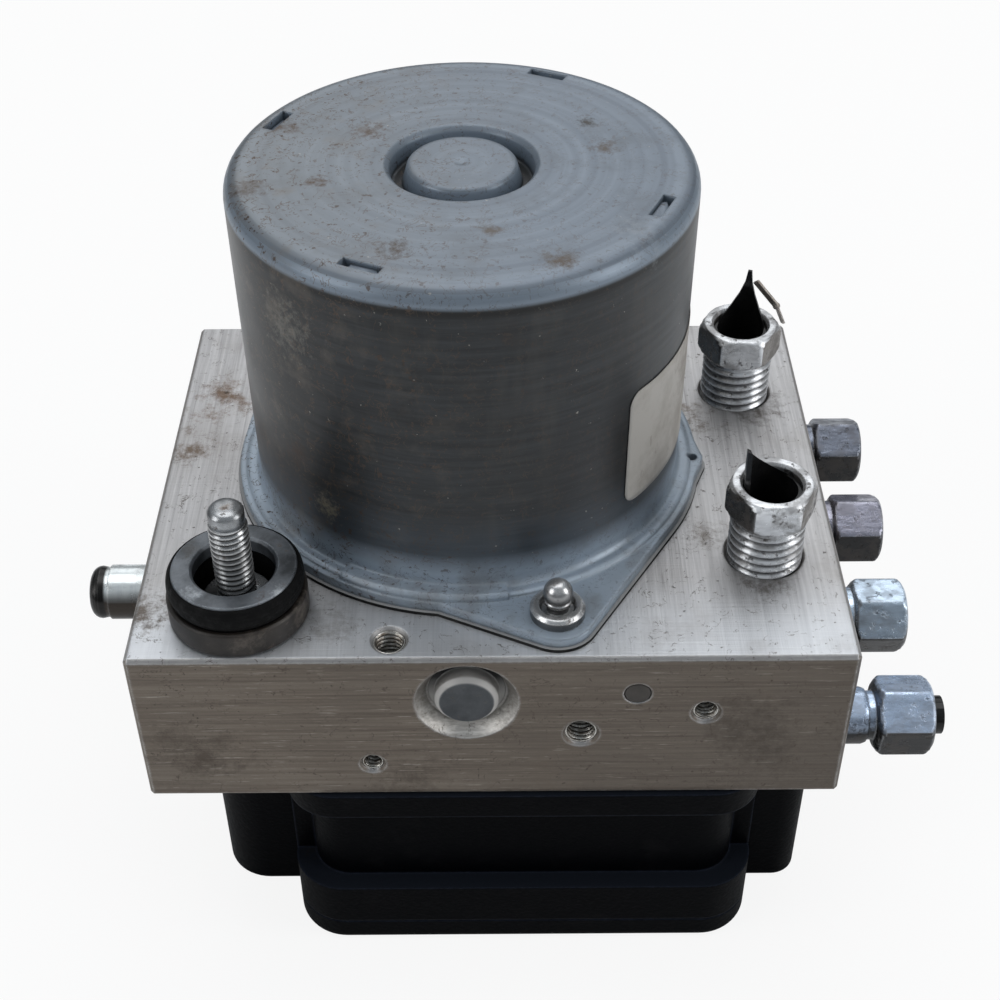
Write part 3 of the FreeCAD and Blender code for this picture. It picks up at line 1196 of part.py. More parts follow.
def make_ecu_cover():
    plate = narrow_plate(0.0, COVER_THICKNESS)
    bottom = [e for e in plate.Edges if all(abs(v.Point.z) < LEVEL_MARGIN for v in e.Vertexes)]
    plate = plate.makeFillet(COVER_FOOT_RADIUS, bottom)
    floor = COVER_THICKNESS - COVER_HOLLOW
    hollow = narrow_plate(floor, COVER_THICKNESS + OVERRUN, HOUSING_WALL, NARROW_CORNER)
    return plate.cut(hollow)


def board_level():
    return housing_levels()[0] + BOARD_SHELF_HEIGHT - BOARD_THICKNESS - BOARD_SEAT_GAP


def make_circuit_board():
    low = board_level()
    high = low + BOARD_THICKNESS
    board = narrow_plate(low, high, HOUSING_WALL + BOARD_MARGIN, NARROW_CORNER)
    holes = []
    for x in terminal_pin_places():
        holes.append(upright(TERMINAL_PIN_SIDE, low - OVERRUN, high + OVERRUN, x, TERMINAL_Y))
    return board.cut(holes)


def make_connector_pins():
    side = PIN_WIDTH / 2
    start = WIDE_BACK - HOUSING_WALL
    end = WIDE_BACK + CONNECTOR_FLOOR + PIN_LENGTH
    return Part.makeCompound([box((x - side, start, z - side), (x + side, end, z + side))
                              for x, z in connector_pin_places()])


def make_unit_screws():
    seat = unit_screw_seat()
    screws = []
    for x, y in UNIT_SCREW_SITES:
        under = seat - UNIT_SCREW_HEAD_HEIGHT
        head = upright(UNIT_SCREW_HEAD_RADIUS, under, seat, x, y)
        socket = hexagon(UNIT_SCREW_SOCKET, under - OVERRUN, under + UNIT_SCREW_SOCKET_DEPTH, 0)
        socket.translate(vec(x, y, 0))
        shank = upright(UNIT_SCREW_RADIUS, seat, BLOCK_BOTTOM + UNIT_SCREW_DEPTH, x, y)
        screws.append(union([head, shank]).cut(socket))
    return Part.makeCompound(screws)


def make_wheel_nuts():
    # Tube nuts: threaded shank, bevelled hexagon, and a bore for the brake line
    nuts = []
    seat = WHEEL_NUT_STANDOFF
    relief = ring(WHEEL_THREAD_RADIUS + OVERRUN, WHEEL_THREAD_RADIUS - WHEEL_NUT_RELIEF_DEPTH,
                  seat - WHEEL_NUT_RELIEF_WIDTH, seat, 0, 0)
    shank = upright(WHEEL_THREAD_RADIUS, -WHEEL_NUT_THREAD_IN, seat).cut(relief)
    bore = rod(WHEEL_NUT_BORE, WHEEL_NUT_LENGTH + OVERRUN * 2, vec(0, 0, -WHEEL_NUT_THREAD_IN - OVERRUN))
    for y, turn in zip(WHEEL_PORT_Y, WHEEL_NUT_ROTATIONS):
        head = bevelled_hexagon(WHEEL_NUT_FLATS, seat, seat + WHEEL_NUT_HEX_LENGTH, turn)
        nuts.append(aimed(union([shank, head]).cut(bore), vec(RIGHT_FACE, y, WHEEL_PORT_Z), X_AXIS))
    return Part.makeCompound(nuts)


def make_wheel_line_stub():
    end = WHEEL_NUT_STANDOFF + WHEEL_NUT_HEX_LENGTH + WHEEL_STUB_PROUD
    length = end + WHEEL_NUT_THREAD_IN
    tube = rod(WHEEL_STUB_RADIUS, length, vec(0, 0, 0))
    lip_start = vec(0, 0, length - WHEEL_STUB_PROUD + WHEEL_STUB_LIP_GAP)
    lip = rod(WHEEL_STUB_RADIUS + WHEEL_STUB_LIP, WHEEL_STUB_PROUD - WHEEL_STUB_LIP_GAP * 2, lip_start)
    hollow = rod(WHEEL_STUB_RADIUS - WHEEL_STUB_WALL, length + OVERRUN * 2, vec(0, 0, -OVERRUN))
    start = vec(RIGHT_FACE - WHEEL_NUT_THREAD_IN, WHEEL_PORT_Y[0], WHEEL_PORT_Z)
    return aimed(union([tube, lip]).cut(hollow), start, X_AXIS)


def make_inlet_nut(site, turn):
    x, y = site
    low = BLOCK_TOP - INLET_NUT_THREAD_IN
    bottom = BLOCK_TOP + INLET_NUT_HEX_BOTTOM
    top = BLOCK_TOP + INLET_NUT_HEX_TOP
    head = bevelled_hexagon(INLET_NUT_FLATS, bottom, top, turn)
    head.translate(vec(x, y, 0))
    shank = upright(INLET_THREAD_RADIUS, low, bottom, x, y)
    bore = upright(INLET_NUT_BORE, low - OVERRUN, top + OVERRUN, x, y)
    depth = INLET_NUT_MOUTH_DEPTH
    mouth = cone(INLET_NUT_BORE, INLET_NUT_MOUTH, depth, vec(x, y, top - depth))
    return union([head, shank]).cut([bore, mouth])


def torn_edge(foot, tip, rest, high, hollow):
    # One edge of the tongue, from its foot up to its tip. hollow is 1 for a straight edge
    # and more for a curved one.
    points = []
    for i in range(STUB_EDGE_STEPS + 1):
        rise = i / STUB_EDGE_STEPS
        points.append(vec(0, tip + (foot - tip) * (1 - rise) ** hollow, rest + (high - rest) * rise))
    return points


def make_torn_stub(site, peak, feet, tip, hollows, angle):
    # The stub of a thin walled tube, torn off so that one tongue of its wall stands up
    x, y = site
    low = BLOCK_TOP - INLET_NUT_THREAD_IN
    rest = BLOCK_TOP + INLET_NUT_HEX_TOP - STUB_FOOT_SINK
    high = BLOCK_TOP + peak
    tube = ring(INLET_STUB_RADIUS, INLET_STUB_RADIUS - INLET_STUB_WALL, low, high, 0, 0)
    floor = upright(INLET_STUB_RADIUS, low, low + INLET_STUB_WALL, 0, 0)
    reach = INLET_STUB_RADIUS + OVERRUN
    first = torn_edge(feet[0], tip - STUB_TIP_WIDTH / 2, rest, high, hollows[0])
    last = torn_edge(feet[1], tip + STUB_TIP_WIDTH / 2, rest, high, hollows[1])
    under = low - OVERRUN
    outline = [vec(0, feet[0], under)] + first + last[::-1] + [vec(0, feet[1], under)]
    tongue = Part.Face(Part.makePolygon(outline + outline[:1])).extrude(vec(reach, 0, 0))
    lower = upright(reach, under, rest)
    stub = union([tube.common(union([tongue, lower])), floor])
    stub.rotate(vec(0, 0, 0), Z_AXIS, angle)
    stub.translate(vec(x, y, 0))
    return stub


def make_inlet_sliver():
    # A bent strip of the torn tube's sleeve, hooked over the back nut's rim
    x, y = INLET_SITES[1]
    top = BLOCK_TOP + INLET_NUT_HEX_TOP
    places = [vec(x + dx, y + dy, top + rise) for dx, dy, rise in SLIVER_BENDS]
    pieces = []
    for start, end in zip(places, places[1:]):
        strip = box((-SLIVER_WIDTH / 2, -SLIVER_THICKNESS / 2, 0),
                    (SLIVER_WIDTH / 2, SLIVER_THICKNESS / 2, (end - start).Length))
        pieces.append(aimed(strip, start, end - start))
    elbow = Part.makeSphere(SLIVER_WIDTH / 2, places[1])
    return union(pieces + [elbow])


def make_damper_cup():
    low = BLOCK_TOP
    top = low + DAMPER_CUP_HEIGHT
    wall = DAMPER_CUP_WALL
    hole = DAMPER_STUD_RADIUS + SCREW_HOLE_GAP
    outer = DAMPER_CUP_RADIUS
    foot = DAMPER_CUP_BEVEL
    lip = DAMPER_CUP_WALL / 3
    profile = [(hole, low), (outer - foot, low), (outer, low + foot), (outer, top - lip), (outer - lip, top),
               (outer - wall, top), (outer - wall, low + wall), (hole, low + wall)]
    return turned(profile, DAMPER_X, DAMPER_Y)


def make_damper_rubber():
    low = BLOCK_TOP + DAMPER_CUP_WALL
    cup_top = BLOCK_TOP + DAMPER_CUP_HEIGHT
    lip = BLOCK_TOP + DAMPER_RUBBER_TOP
    inner = DAMPER_RUBBER_HOLE
    inside = DAMPER_CUP_RADIUS - DAMPER_CUP_WALL - DAMPER_RUBBER_GAP
    outer = DAMPER_RUBBER_RADIUS
    seat = DAMPER_RING_RADIUS + DAMPER_RUBBER_GAP
    seat_level = lip - DAMPER_RING_SINK
    foot = cup_top + DAMPER_RUBBER_GAP
    profile = [(inner, low), (inside, low), (inside, foot)]
    for i in range(9):
        a = math.radians(-75 + 150 * i / 8)
        lift = (1 + math.sin(a) / math.sin(math.radians(75))) / 2
        profile.append((outer - DAMPER_RUBBER_BULGE * (1 - math.cos(a)), foot + (lip - foot) * lift))
    profile += [(seat, lip), (seat, seat_level), (inner, seat_level)]
    return turned(profile, DAMPER_X, DAMPER_Y)


def make_damper_ring():
    low = BLOCK_TOP + DAMPER_RUBBER_TOP - DAMPER_RING_SINK
    top = low + DAMPER_RING_THICKNESS
    outer = DAMPER_RING_RADIUS
    inner = DAMPER_RING_HOLE
    skirt = inner + DAMPER_RING_SKIRT_WALL
    bevel = DAMPER_RING_BEVEL
    mouth = DAMPER_RING_MOUTH
    profile = [(inner, low - DAMPER_RING_SKIRT), (skirt, low - DAMPER_RING_SKIRT), (skirt, low), (outer, low),
               (outer, top - bevel), (outer - bevel, top), (inner + mouth, top), (inner, top - mouth)]
    return turned(profile, DAMPER_X, DAMPER_Y)


def make_damper_stud():
    base = BLOCK_TOP + DAMPER_CUP_WALL
    low = BLOCK_TOP - DAMPER_STUD_IN
    top = BLOCK_TOP + DAMPER_STUD_TOP
    radius = DAMPER_STUD_RADIUS
    collar = base + DAMPER_STUD_COLLAR_HEIGHT
    collar_radius = DAMPER_STUD_COLLAR_RADIUS
    bevel = DAMPER_STUD_COLLAR_BEVEL
    profile = [(0, low), (radius - STUD_CHAMFER, low), (radius, low + STUD_CHAMFER), (radius, base),
               (collar_radius, base), (collar_radius, collar - bevel), (collar_radius - bevel, collar),
               (radius, collar), (radius, top - STUD_CHAMFER), (radius - STUD_CHAMFER, top), (0, top)]
    return turned(profile, DAMPER_X, DAMPER_Y)


def make_locating_pin():
    groove = LOCATOR_LENGTH - LOCATOR_GROOVE_OFFSET
    radius = LOCATOR_RADIUS
    neck = radius - LOCATOR_GROOVE_DEPTH
    nose = LOCATOR_NOSE
    groove_low = groove - LOCATOR_GROOVE_WIDTH
    tip = radius - LOCATOR_TIP_STEP
    root = LOCATOR_ROOT_RADIUS
    profile = [(0, -LOCATOR_ROOT_LENGTH), (root, -LOCATOR_ROOT_LENGTH), (root, 0), (radius, 0),
               (radius, groove_low), (neck, groove_low), (neck, groove)]
    for i in range(6):
        a = math.radians(90 * i / 5)
        profile.append((tip - nose * (1 - math.cos(a)), LOCATOR_LENGTH - nose * (1 - math.sin(a))))
    profile.append((0, LOCATOR_LENGTH))
    return aimed(turned(profile, 0, 0), vec(LEFT_FACE, LOCATOR_Y, BLOCK_BOTTOM + LOCATOR_HEIGHT), -X_AXIS)


def make_gallery_plug():
    # A ball pressed into the gallery and ground level with the face
    centre = vec(BALL_PLUG_X, FRONT_FACE + BALL_PLUG_SINK, BLOCK_BOTTOM + BALL_PLUG_HEIGHT)
    ball = Part.makeSphere(BALL_PLUG_RADIUS, centre)
    reach = BALL_PLUG_RADIUS + OVERRUN
    front = box((centre.x - reach, FRONT_FACE - reach, centre.z - reach),
                (centre.x + reach, FRONT_FACE, centre.z + reach))
    return ball.cut(front)


def all_nodes():
    nodes = {
        "hydraulic_block": make_hydraulic_block(),
        "motor_can": make_motor_can(),
        "motor_gasket": make_motor_gasket(),
        "motor_screws": make_motor_screws(),
        "motor_screw_collars": make_motor_screw_collars(),
        "motor_magnets": make_motor_magnets(),
        "armature_core": make_armature_core(),
        "armature_winding": make_armature_winding(),
        "commutator": make_commutator(),
        "rotor_shaft": make_rotor_shaft(),
        "brush_plate": make_brush_plate(),
        "terminal_pins": make_terminal_pins(),
        "brush_springs": make_brush_springs(),
        "accumulator_caps": make_accumulator_caps(),
        "valve_bodies": make_valve_bodies(),
        "valve_springs": make_valve_springs(),
        "valve_coils": make_valve_coils(),
        "ecu_housing": make_ecu_housing(),
        "ecu_seal": make_ecu_seal(),
        "ecu_cover": make_ecu_cover(),
        "circuit_board": make_circuit_board(),
        "connector_pins": make_connector_pins(),
        "ecu_screws": make_unit_screws(),
        "wheel_line_nuts": make_wheel_nuts(),
        "wheel_line_stub": make_wheel_line_stub(),
        "inlet_sliver": make_inlet_sliver(),
        "damper_cup": make_damper_cup(),
        "damper_rubber": make_damper_rubber(),
        "damper_ring": make_damper_ring(),
        "damper_stud": make_damper_stud(),
        "locating_pin": make_locating_pin(),
        "gallery_ball_plug": make_gallery_plug(),
    }
    nodes.update(make_bearings())
    for name, side in (("left", -1), ("right", 1)):
        nodes["brush_" + name] = make_brush(side)
    for name, side in (("front", -1), ("back", 1)):
        nodes["pump_plug_" + name] = make_pump_plug(side)
        nodes["pump_piston_" + name] = make_pump_piston(side)
        nodes["pump_spring_" + name] = make_pump_spring(side)
    for name, site in zip(("left", "right"), ACCUMULATOR_SITES):
        nodes["accumulator_piston_" + name] = make_accumulator_piston(site)
        nodes["accumulator_spring_" + name] = make_accumulator_spring(site)
    for number, site in enumerate(valve_sites(), start=1):
        nodes["valve_armature_" + str(number)] = make_valve_armature(site)
    for name, site, turn in zip(("front", "back"), INLET_SITES, INLET_NUT_ROTATIONS):
        nodes["inlet_nut_" + name] = make_inlet_nut(site, turn)
    nodes["inlet_stub_front"] = make_torn_stub(INLET_SITES[0], FRONT_STUB_PEAK, FRONT_STUB_FEET,
                                               FRONT_STUB_TIP, FRONT_STUB_HOLLOWS, FRONT_STUB_ANGLE)
    nodes["inlet_stub_back"] = make_torn_stub(INLET_SITES[1], BACK_STUB_PEAK, BACK_STUB_FEET,
                                              BACK_STUB_TIP, BACK_STUB_HOLLOWS, BACK_STUB_ANGLE)
    return nodes


os.makedirs("parts", exist_ok=True)
for node_name, node_shape in all_nodes().items():
    node_shape.exportStep("parts/" + node_name + ".step")
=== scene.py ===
import math

import bpy
from mathutils import Matrix, Vector, noise


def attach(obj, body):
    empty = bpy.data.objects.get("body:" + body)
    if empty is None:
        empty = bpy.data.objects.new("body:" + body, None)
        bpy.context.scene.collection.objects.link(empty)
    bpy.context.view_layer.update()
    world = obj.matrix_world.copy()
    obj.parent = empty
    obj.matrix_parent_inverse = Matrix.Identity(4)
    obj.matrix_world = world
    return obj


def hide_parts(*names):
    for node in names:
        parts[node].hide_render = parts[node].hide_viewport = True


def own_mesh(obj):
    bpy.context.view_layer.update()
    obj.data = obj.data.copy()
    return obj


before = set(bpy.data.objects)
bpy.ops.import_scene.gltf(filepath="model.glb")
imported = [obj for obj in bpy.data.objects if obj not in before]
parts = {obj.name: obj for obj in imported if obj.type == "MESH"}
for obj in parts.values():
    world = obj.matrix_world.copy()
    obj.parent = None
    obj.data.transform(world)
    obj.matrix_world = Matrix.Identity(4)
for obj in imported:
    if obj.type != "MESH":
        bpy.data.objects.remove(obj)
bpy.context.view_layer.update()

# Viewpoint
# The module stands on its control unit and is seen from in front and above, square to its pump-plug face.
# The lens and place are those of the photograph, worked out from the valve block's edges.
lens_right = Vector((0.999977, -0.003968, -0.005569))
lens_up = Vector((0.006814, 0.645974, 0.763329))
lens_ahead = Vector((-0.000569, 0.763349, -0.645986))
lens_place = Vector((0.001431, -0.213011, 0.243118))
camera_data = bpy.data.cameras.new("viewpoint")
camera_data.sensor_width = 36.0
camera_data.lens = 58.712
camera_data.clip_start = 0.01
camera = bpy.data.objects.new("viewpoint", camera_data)
turn = Matrix((lens_right, lens_up, -lens_ahead)).transposed().to_4x4()
camera.matrix_world = Matrix.Translation(lens_place) @ turn
bpy.context.scene.collection.objects.link(camera)
bpy.context.scene.camera = camera
bpy.context.scene.view_settings.view_transform = "Standard"


# Table and studio light
# A plain white table keeps a soft shadow, under a broad soft box, a tall panel behind and one at each side.
# The room is white to the lens only; what the metal mirrors is darker low down and brighter overhead.
def link_or_set(tree, value, socket):
    if isinstance(value, bpy.types.NodeSocket):
        tree.links.new(value, socket)
    elif isinstance(value, (tuple, list)):
        socket.default_value = tuple(value) + (1,) * (len(socket.default_value) - len(value))
    else:
        socket.default_value = value


def place_node(tree, kind, inputs=None, **settings):
    # inputs: what each named or numbered input takes, another node's output or a constant
    node = tree.nodes.new(kind)
    for key, value in settings.items():
        setattr(node, key, value)
    for key, value in (inputs or {}).items():
        link_or_set(tree, value, node.inputs[key])
    return node


def spread_value(tree, value, low, high, start=0.0, end=1.0):
    return place_node(tree, "ShaderNodeMapRange", {
        "From Min": low, "From Max": high, "To Min": start, "To Max": end, "Value": value}).outputs["Result"]


def combine(tree, how, *values):
    return place_node(tree, "ShaderNodeMath", dict(enumerate(values)), operation=how).outputs[0]


def start_material(title, metallic=0.0):
    material = bpy.data.materials.new(title)
    material.use_nodes = True
    tree = material.node_tree
    tree.nodes.clear()
    output = tree.nodes.new("ShaderNodeOutputMaterial")
    shader = tree.nodes.new("ShaderNodeBsdfPrincipled")
    shader.inputs["Metallic"].default_value = metallic
    tree.links.new(shader.outputs["BSDF"], output.inputs["Surface"])
    return material, tree, shader


def mesh_object(title, points, faces, smooth=True):
    mesh = bpy.data.meshes.new(title)
    mesh.from_pydata([tuple(p) for p in points], [], faces)
    mesh.validate()
    if smooth:
        mesh.polygons.foreach_set("use_smooth", [True] * len(mesh.polygons))
    piece = bpy.data.objects.new(title, mesh)
    bpy.context.scene.collection.objects.link(piece)
    return piece


def soft_panel(title, place, aim, size, power):
    data = bpy.data.lights.new(title, "AREA")
    data.shape = "RECTANGLE"
    data.size, data.size_y = size
    data.energy = power
    lamp = bpy.data.objects.new(title, data)
    facing = (Vector(aim) - Vector(place)).normalized().to_track_quat("-Z", "Y")
    lamp.matrix_world = Matrix.Translation(Vector(place)) @ facing.to_matrix().to_4x4()
    bpy.context.scene.collection.objects.link(lamp)


table_half = 3.0
table_level = -0.0004
table_turn = ((-1, -1), (1, -1), (1, 1), (-1, 1))
table_corners = [(x * table_half, y * table_half, table_level) for x, y in table_turn]
table = mesh_object("table", table_corners, [(0, 1, 2, 3)], smooth=False)
table_white, tree, shader = start_material("table_white")
shader.inputs["Base Color"].default_value = (0.86, 0.86, 0.86, 1)
shader.inputs["Roughness"].default_value = 0.9
shader.inputs["Specular IOR Level"].default_value = 0.1
table_glow = place_node(tree, "ShaderNodeEmission", {"Strength": 1.0})
seen_ray = place_node(tree, "ShaderNodeLightPath")
table_place = place_node(tree, "ShaderNodeTexCoord")
from_module = place_node(tree, "ShaderNodeVectorMath", {0: table_place.outputs["Object"]}, operation="LENGTH")
whiter_away = spread_value(tree, from_module.outputs["Value"], 0.15, 1.2, 0.88, 1.0)
glow_share = combine(tree, "MULTIPLY", seen_ray.outputs["Is Camera Ray"], whiter_away)
table_mix = place_node(tree, "ShaderNodeMixShader", {
    "Fac": glow_share, 1: shader.outputs["BSDF"], 2: table_glow.outputs["Emission"]})
tree.links.new(table_mix.outputs["Shader"], tree.nodes["Material Output"].inputs["Surface"])
table.data.materials.append(table_white)

room = bpy.data.worlds.new("studio_room")
room.use_nodes = True
tree = room.node_tree
tree.nodes.clear()
room_output = place_node(tree, "ShaderNodeOutputWorld")
room_aspect = place_node(tree, "ShaderNodeTexCoord")
room_level = place_node(tree, "ShaderNodeSeparateXYZ", {"Vector": room_aspect.outputs["Generated"]})
room_grade = place_node(tree, "ShaderNodeValToRGB", {"Fac": room_level.outputs["Z"]})
low_end, high_end = room_grade.color_ramp.elements
low_end.position, low_end.color = 0.0, (0.16, 0.165, 0.18, 1)
high_end.position, high_end.color = 0.75, (0.85, 0.93, 1.0, 1)
room_dim = place_node(tree, "ShaderNodeBackground", {"Color": room_grade.outputs["Color"], "Strength": 0.34})
room_white = place_node(tree, "ShaderNodeBackground", {"Color": (1, 1, 1), "Strength": 1.0})
room_ray = place_node(tree, "ShaderNodeLightPath")
room_mix = place_node(tree, "ShaderNodeMixShader", {
    "Fac": room_ray.outputs["Is Camera Ray"],
    1: room_dim.outputs["Background"], 2: room_white.outputs["Background"]})
tree.links.new(room_mix.outputs["Shader"], room_output.inputs["Surface"])
bpy.context.scene.world = room

soft_panel("overhead_soft_box", (0.0, 0.12, 0.75), (0, 0, 0.05), (0.7, 0.5), 2.3)
soft_panel("tall_back_panel", (0.1, 0.95, 0.8), (0, 0, 0.07), (1.3, 0.7), 3.0)
soft_panel("left_panel", (-0.7, -0.35, 0.45), (0, 0, 0.05), (0.4, 0.5), 1.9)
soft_panel("right_panel", (0.75, -0.25, 0.4), (0, 0, 0.05), (0.35, 0.5), 2.4)


# Valve block
# A bare aluminium block, sawn and milled, with brown dirt in its scratches and a bright edge line: wear and
# painted highlight.
# The pump plug, the ball plug and the tapped holes are in its front face.
def effect_group(title, takes, gives):
    group = bpy.data.node_groups.new(title, "ShaderNodeTree")
    for name, value in takes.items():
        socket = group.interface.new_socket(name, in_out="INPUT", socket_type="NodeSocketFloat")
        socket.default_value = value
    for name in gives:
        kind = "NodeSocketVector" if name == "Normal" else "NodeSocketFloat"
        group.interface.new_socket(name, in_out="OUTPUT", socket_type=kind)
    return group, group.nodes.new("NodeGroupInput"), group.nodes.new("NodeGroupOutput")


def object_place(tree):
    return place_node(tree, "ShaderNodeTexCoord").outputs["Object"]


def split_vector(tree, vector):
    return place_node(tree, "ShaderNodeSeparateXYZ", {"Vector": vector})


def surface_aspect(tree):
    return split_vector(tree, place_node(tree, "ShaderNodeNewGeometry").outputs["Normal"])


stain_patches, taken, given = effect_group(
    "stain_patches", {"Scale": 60.0, "Level": 0.5, "Softness": 0.1}, ("Mask",))
cloud = place_node(stain_patches, "ShaderNodeTexNoise", {
    "Vector": object_place(stain_patches), "Scale": taken.outputs["Scale"], "Detail": 8.0, "Roughness": 0.62})
upper = combine(stain_patches, "ADD", taken.outputs["Level"], taken.outputs["Softness"])
cut = spread_value(stain_patches, cloud.outputs["Fac"], taken.outputs["Level"], upper)
stain_patches.links.new(cut, given.inputs["Mask"])

drawn_scratches, taken, given = effect_group(
    "drawn_scratches", {"Along_X": 1.0, "Along_Y": 1.0, "Along_Z": 1.0, "Scale": 900.0}, ("Mask",))
stretch = place_node(drawn_scratches, "ShaderNodeCombineXYZ", {
    axis: taken.outputs["Along_" + axis] for axis in "XYZ"})
squeezed = place_node(drawn_scratches, "ShaderNodeVectorMath", {
    0: object_place(drawn_scratches), 1: stretch.outputs["Vector"]}, operation="MULTIPLY")
grain = place_node(drawn_scratches, "ShaderNodeTexNoise", {
    "Vector": squeezed.outputs["Vector"], "Scale": taken.outputs["Scale"], "Detail": 4.0, "Roughness": 0.7})
drawn_scratches.links.new(grain.outputs["Fac"], given.inputs["Mask"])

# An edge is where a rounded normal departs from the true one; it is kept in ragged lengths, tinted as wear
# and painted highlight
edge_wear_and_highlight, taken, given = effect_group("edge_wear_and_highlight", {"Width": 0.0006, "Break": 0.5}, ("Mask", "Normal"))
rounded = place_node(edge_wear_and_highlight, "ShaderNodeBevel", {"Radius": taken.outputs["Width"]}, samples=4)
surface = place_node(edge_wear_and_highlight, "ShaderNodeNewGeometry")
agree = place_node(edge_wear_and_highlight, "ShaderNodeVectorMath", {
    0: rounded.outputs["Normal"], 1: surface.outputs["Normal"]}, operation="DOT_PRODUCT")
patchy = place_node(edge_wear_and_highlight, "ShaderNodeTexNoise", {
    "Vector": object_place(edge_wear_and_highlight), "Scale": 700.0, "Detail": 3.0})
bend = spread_value(edge_wear_and_highlight, agree.outputs["Value"], 0.995, 0.88)
ragged = spread_value(edge_wear_and_highlight, patchy.outputs["Fac"], 0.35, 0.6)
kept = spread_value(edge_wear_and_highlight, taken.outputs["Break"], 0.0, 1.0, 1.0, 0.0)
wear_and_highlight = combine(edge_wear_and_highlight, "MULTIPLY", bend, combine(edge_wear_and_highlight, "MAXIMUM", ragged, kept))
edge_wear_and_highlight.links.new(wear_and_highlight, given.inputs["Mask"])
edge_wear_and_highlight.links.new(rounded.outputs["Normal"], given.inputs["Normal"])

facing_split, taken, given = effect_group("facing_split", {}, ("Upward", "Height"))
up = spread_value(facing_split, surface_aspect(facing_split).outputs["Z"], 0.55, 0.9)
facing_split.links.new(up, given.inputs["Upward"])
level = split_vector(facing_split, object_place(facing_split)).outputs["Z"]
facing_split.links.new(level, given.inputs["Height"])

# A ragged patch round one place: full in its middle, broken up towards its reach
stain_spot, taken, given = effect_group(
    "stain_spot", {"At_X": 0.0, "At_Y": 0.0, "At_Z": 0.0, "Reach": 0.01, "Scale": 300.0}, ("Mask",))
place = object_place(stain_spot)
middle = place_node(stain_spot, "ShaderNodeCombineXYZ", {axis: taken.outputs["At_" + axis] for axis in "XYZ"})
away = place_node(stain_spot, "ShaderNodeVectorMath", {
    0: place, 1: middle.outputs["Vector"]}, operation="DISTANCE")
share = combine(stain_spot, "DIVIDE", away.outputs["Value"], taken.outputs["Reach"])
cloud = place_node(stain_spot, "ShaderNodeTexNoise", {
    "Vector": place, "Scale": taken.outputs["Scale"], "Detail": 12.0, "Roughness": 0.8})
needed = combine(stain_spot, "MULTIPLY_ADD", share, 0.34, 0.36)
over = combine(stain_spot, "SUBTRACT", cloud.outputs["Fac"], needed)
stain_spot.links.new(spread_value(stain_spot, over, 0.0, 0.17), given.inputs["Mask"])

# Short crooked lines: where a warped noise crosses its middle, kept only in patches
fine_flecks, taken, given = effect_group(
    "fine_flecks", {"Scale": 300.0, "Width": 0.02, "Level": 0.5}, ("Mask",))
place = object_place(fine_flecks)
crooked = place_node(fine_flecks, "ShaderNodeTexNoise", {
    "Vector": place, "Scale": taken.outputs["Scale"], "Detail": 5.0, "Distortion": 1.2})
line = combine(fine_flecks, "COMPARE", crooked.outputs["Fac"], 0.5, taken.outputs["Width"])
kept = place_node(fine_flecks, "ShaderNodeTexNoise", {"Vector": place, "Scale": 420.0, "Detail": 3.0})
keep = combine(fine_flecks, "GREATER_THAN", kept.outputs["Fac"], taken.outputs["Level"])
fine_flecks.links.new(combine(fine_flecks, "MULTIPLY", line, keep), given.inputs["Mask"])


def use_effect(tree, group, **values):
    return place_node(tree, "ShaderNodeGroup", values, node_tree=group)


def patches(tree, scale, level, softness):
    return use_effect(tree, stain_patches, Scale=scale, Level=level, Softness=softness).outputs["Mask"]


def scratches(tree, scale, x=1.0, y=1.0, z=1.0):
    # x, y and z: how much the grain is squeezed along each axis; a small share draws it out
    return use_effect(tree, drawn_scratches, Along_X=x, Along_Y=y, Along_Z=z, Scale=scale).outputs["Mask"]


def flecks_of(tree, scale, width, level):
    return use_effect(tree, fine_flecks, Scale=scale, Width=width, Level=level).outputs["Mask"]


def worn_and_highlit_edges(tree, width, broken):
    wear = use_effect(tree, edge_wear_and_highlight, Width=width, Break=broken)
    return wear.outputs["Mask"], wear.outputs["Normal"]


def mix_colours(tree, mask, under, over):
    mix = place_node(tree, "ShaderNodeMix", {"Factor": mask, "A": under, "B": over}, data_type="RGBA")
    return mix.outputs["Result"]


def tint(tree, colour, *layers):
    # layers: mask, share and colour of each thing that lies over the last
    for mask, share, over in layers:
        colour = mix_colours(tree, combine(tree, "MULTIPLY", mask, share), colour, over)
    return colour


def tint_range(tree, colour, value, low, high, share, over):
    # The tint grows from nothing at low to its share at high
    return mix_colours(tree, spread_value(tree, value, low, high, 0, share), colour, over)


def dress(tree, shader, colour, roughness, height, depth, normal=None):
    # Colour, roughness and raised relief of one material
    tree.links.new(colour, shader.inputs["Base Color"])
    tree.links.new(roughness, shader.inputs["Roughness"])
    relief = {"Strength": 1.0, "Distance": depth, "Height": height}
    if normal is not None:
        relief["Normal"] = normal
    tree.links.new(place_node(tree, "ShaderNodeBump", relief).outputs["Normal"], shader.inputs["Normal"])


def finish_nodes(material, *names):
    for name in names:
        piece = parts[name]
        piece.data.materials.clear()
        piece.data.materials.append(material)


def add_spots(tree, colour, spots):
    # spots: place in millimetres, reach, scale of the ragged edge, strength and colour
    for (x, y, z), reach, scale, strength, over in spots:
        spot = use_effect(tree, stain_spot, At_X=x / 1000, At_Y=y / 1000, At_Z=z / 1000, Reach=reach / 1000,
                          Scale=scale)
        colour = tint(tree, colour, (spot.outputs["Mask"], strength, over))
    return colour


